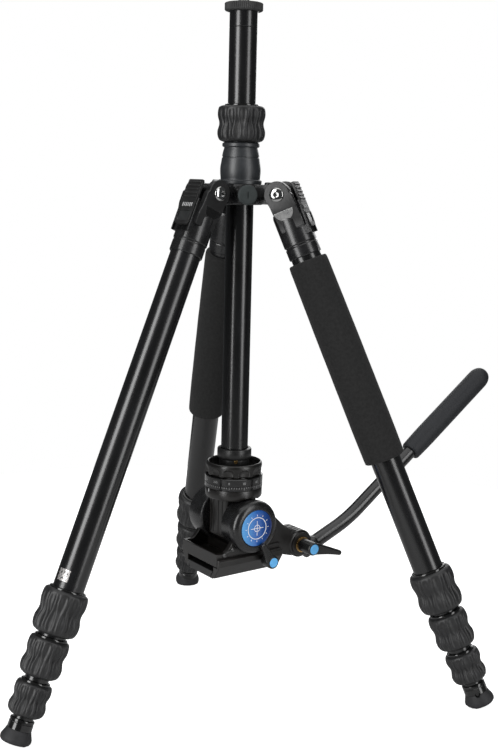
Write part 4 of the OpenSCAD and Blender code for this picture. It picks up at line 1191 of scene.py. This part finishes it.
def add_handle():
    """Ribbed joint hub, bent tube, moulded rubber grip and the brass washer under the lever."""
    drop = BOSS_Z - HANDLE_DROP
    bend_z = drop + (BEND_U - BOSS_U) * math.tan(math.radians(SLOPE_A))
    hub = [(0, 13.35), (11.5, 13.35), (12.3, 14.0), (12.3, 15.6), (11.8, 16.0), (11.8, 16.8), (12.3, 17.2),
           (12.3, 18.8), (11.8, 19.2), (11.8, 20.0), (12.3, 20.4), (12.3, 22.6), (11.2, 23.4), (10.4, 23.6),
           (10.2, 25.0), (9.6, 25.45), (0, 25.45)]
    piece("handle_joint", [on_v(hub, BOSS_U, BOSS_Z, 0, 96)], HEAD, "handle", HEAD_AT,
          nodes=["handle_hub"], sharp=30)
    along = Matrix.Translation((BOSS_U, drop, HANDLE_V)) @ Matrix.Rotation(math.radians(SLOPE_A), 4, "Z") \
        @ Matrix.Rotation(math.radians(90), 4, "Y")
    socket = [(0, 6), (7.2, 6), (7.8, 6.6), (7.85, 15), (7.6, 18.2), (7.1, 20.2), (6.6, 21), (6.3, 21),
              (6.3, 9), (0, 9)]
    joint_socket = piece("handle_socket", [moved(solid(socket, 72), along)], HEAD, "handle",
                         HEAD_AT, sharp=34)
    clear = [on_v([(0, 4), (13, 4), (13, 13.25), (0, 13.25)], BOSS_U, BOSS_Z, 0, 96),
             on_v([(0, 25.5), (13, 25.5), (13, 34), (0, 34)], BOSS_U, BOSS_Z, 0, 96)]
    cut(joint_socket, clear, HEAD_AT)
    joint_socket.data.set_sharp_from_angle(angle=math.radians(34))

    # Tube: straight, one round bend, straight into the grip
    turn = math.radians(SLOPE_B - SLOPE_A)
    tangent = BEND_R * math.tan(turn / 2)
    a, b = math.radians(SLOPE_A), math.radians(SLOPE_B)
    start_length = (BEND_U - BOSS_U) / math.cos(a) - 9.2
    path = [(BEND_U - start_length * math.cos(a), bend_z - start_length * math.sin(a), HANDLE_V)]
    centre = (BEND_U - tangent * math.cos(a) - BEND_R * math.sin(a), bend_z - tangent * math.sin(a)
              + BEND_R * math.cos(a))
    for k in range(25):
        angle = a - math.pi / 2 + turn * k / 24
        path.append((centre[0] + BEND_R * math.cos(angle), centre[1] + BEND_R * math.sin(angle), HANDLE_V))
    end = GRIP_START + 79
    path.append((BEND_U + end * math.cos(b), bend_z + end * math.sin(b), HANDLE_V))
    piece("handle_bar", [sweep(path, 6.25, 96)], TUBE, "handle", HEAD_AT,
          nodes=["handle_tube"], sharp=40)

    place = HEAD_AT @ Matrix.Translation((BEND_U * MM, bend_z * MM, HANDLE_V * MM)) \
        @ Matrix.Rotation(b, 4, "Z") @ Matrix.Rotation(math.radians(90), 4, "Y")
    s, length, r = GRIP_START, GRIP_LENGTH, 10.0
    grip = [(6.3, s + 0.6), (6.6, s + 0.1), (8.2, s + 0.1), (8.9, s + 0.5), (9.3, s + 1.3), (9.45, s + 2.4)]
    grip += [(9.45 + 0.55 * math.sin(math.pi / 2 * min(1, k / 6)), s + 2.4 + 24 * k / 6) for k in range(1, 7)]
    grip += [(r, s + 26.4 + (length - 38) * k / 20) for k in range(1, 21)]
    grip += [(r - 7 + 7 * math.cos(math.radians(q)), s + length - 11.6 + 11.6 * math.sin(math.radians(q)))
             for q in (8, 16, 24, 33, 42, 52, 62, 72, 82)]
    grip += [(0, s + length)]
    grip.insert(0, (6.3, s + 79.5))
    grip.insert(0, (0, s + 79.5))
    piece("grip_sleeve", [solid(grip, 128)], GRIP, "handle", place, nodes=["handle_grip"],
          sharp=48)

    washer = [(3.1, 25.56), (6.7, 25.56), (6.9, 25.75), (6.9, 26.65), (6.7, 26.85), (3.1, 26.85)]
    piece("joint_washer", [shifted(lathe(washer, 72), BOSS_U, BOSS_Z, 0)], BRASS, "handle", HEAD_AT,
          nodes=["handle_washer"], sharp=30)


# ---------------------------------------------------------------- build

add_camera()
add_studio()
for leg_name in LEGS:
    add_leg(leg_name)
add_sticker()
add_hinge_bolts()
add_apex()
add_collar()
add_column()
add_lock("column_lock", "column_lock", HERE, 458.3, 489, 19.7, COLUMN_R + 0.2, COLUMN_R)
add_base()
add_pan()
add_tilt_body()
add_badge()
add_levers()
add_clamp()
add_handle()
frame["nodes"]["tilt_shaft"].data.materials.clear()
frame["nodes"]["tilt_shaft"].data.materials.append(STEEL)

bpy.context.view_layer.update()
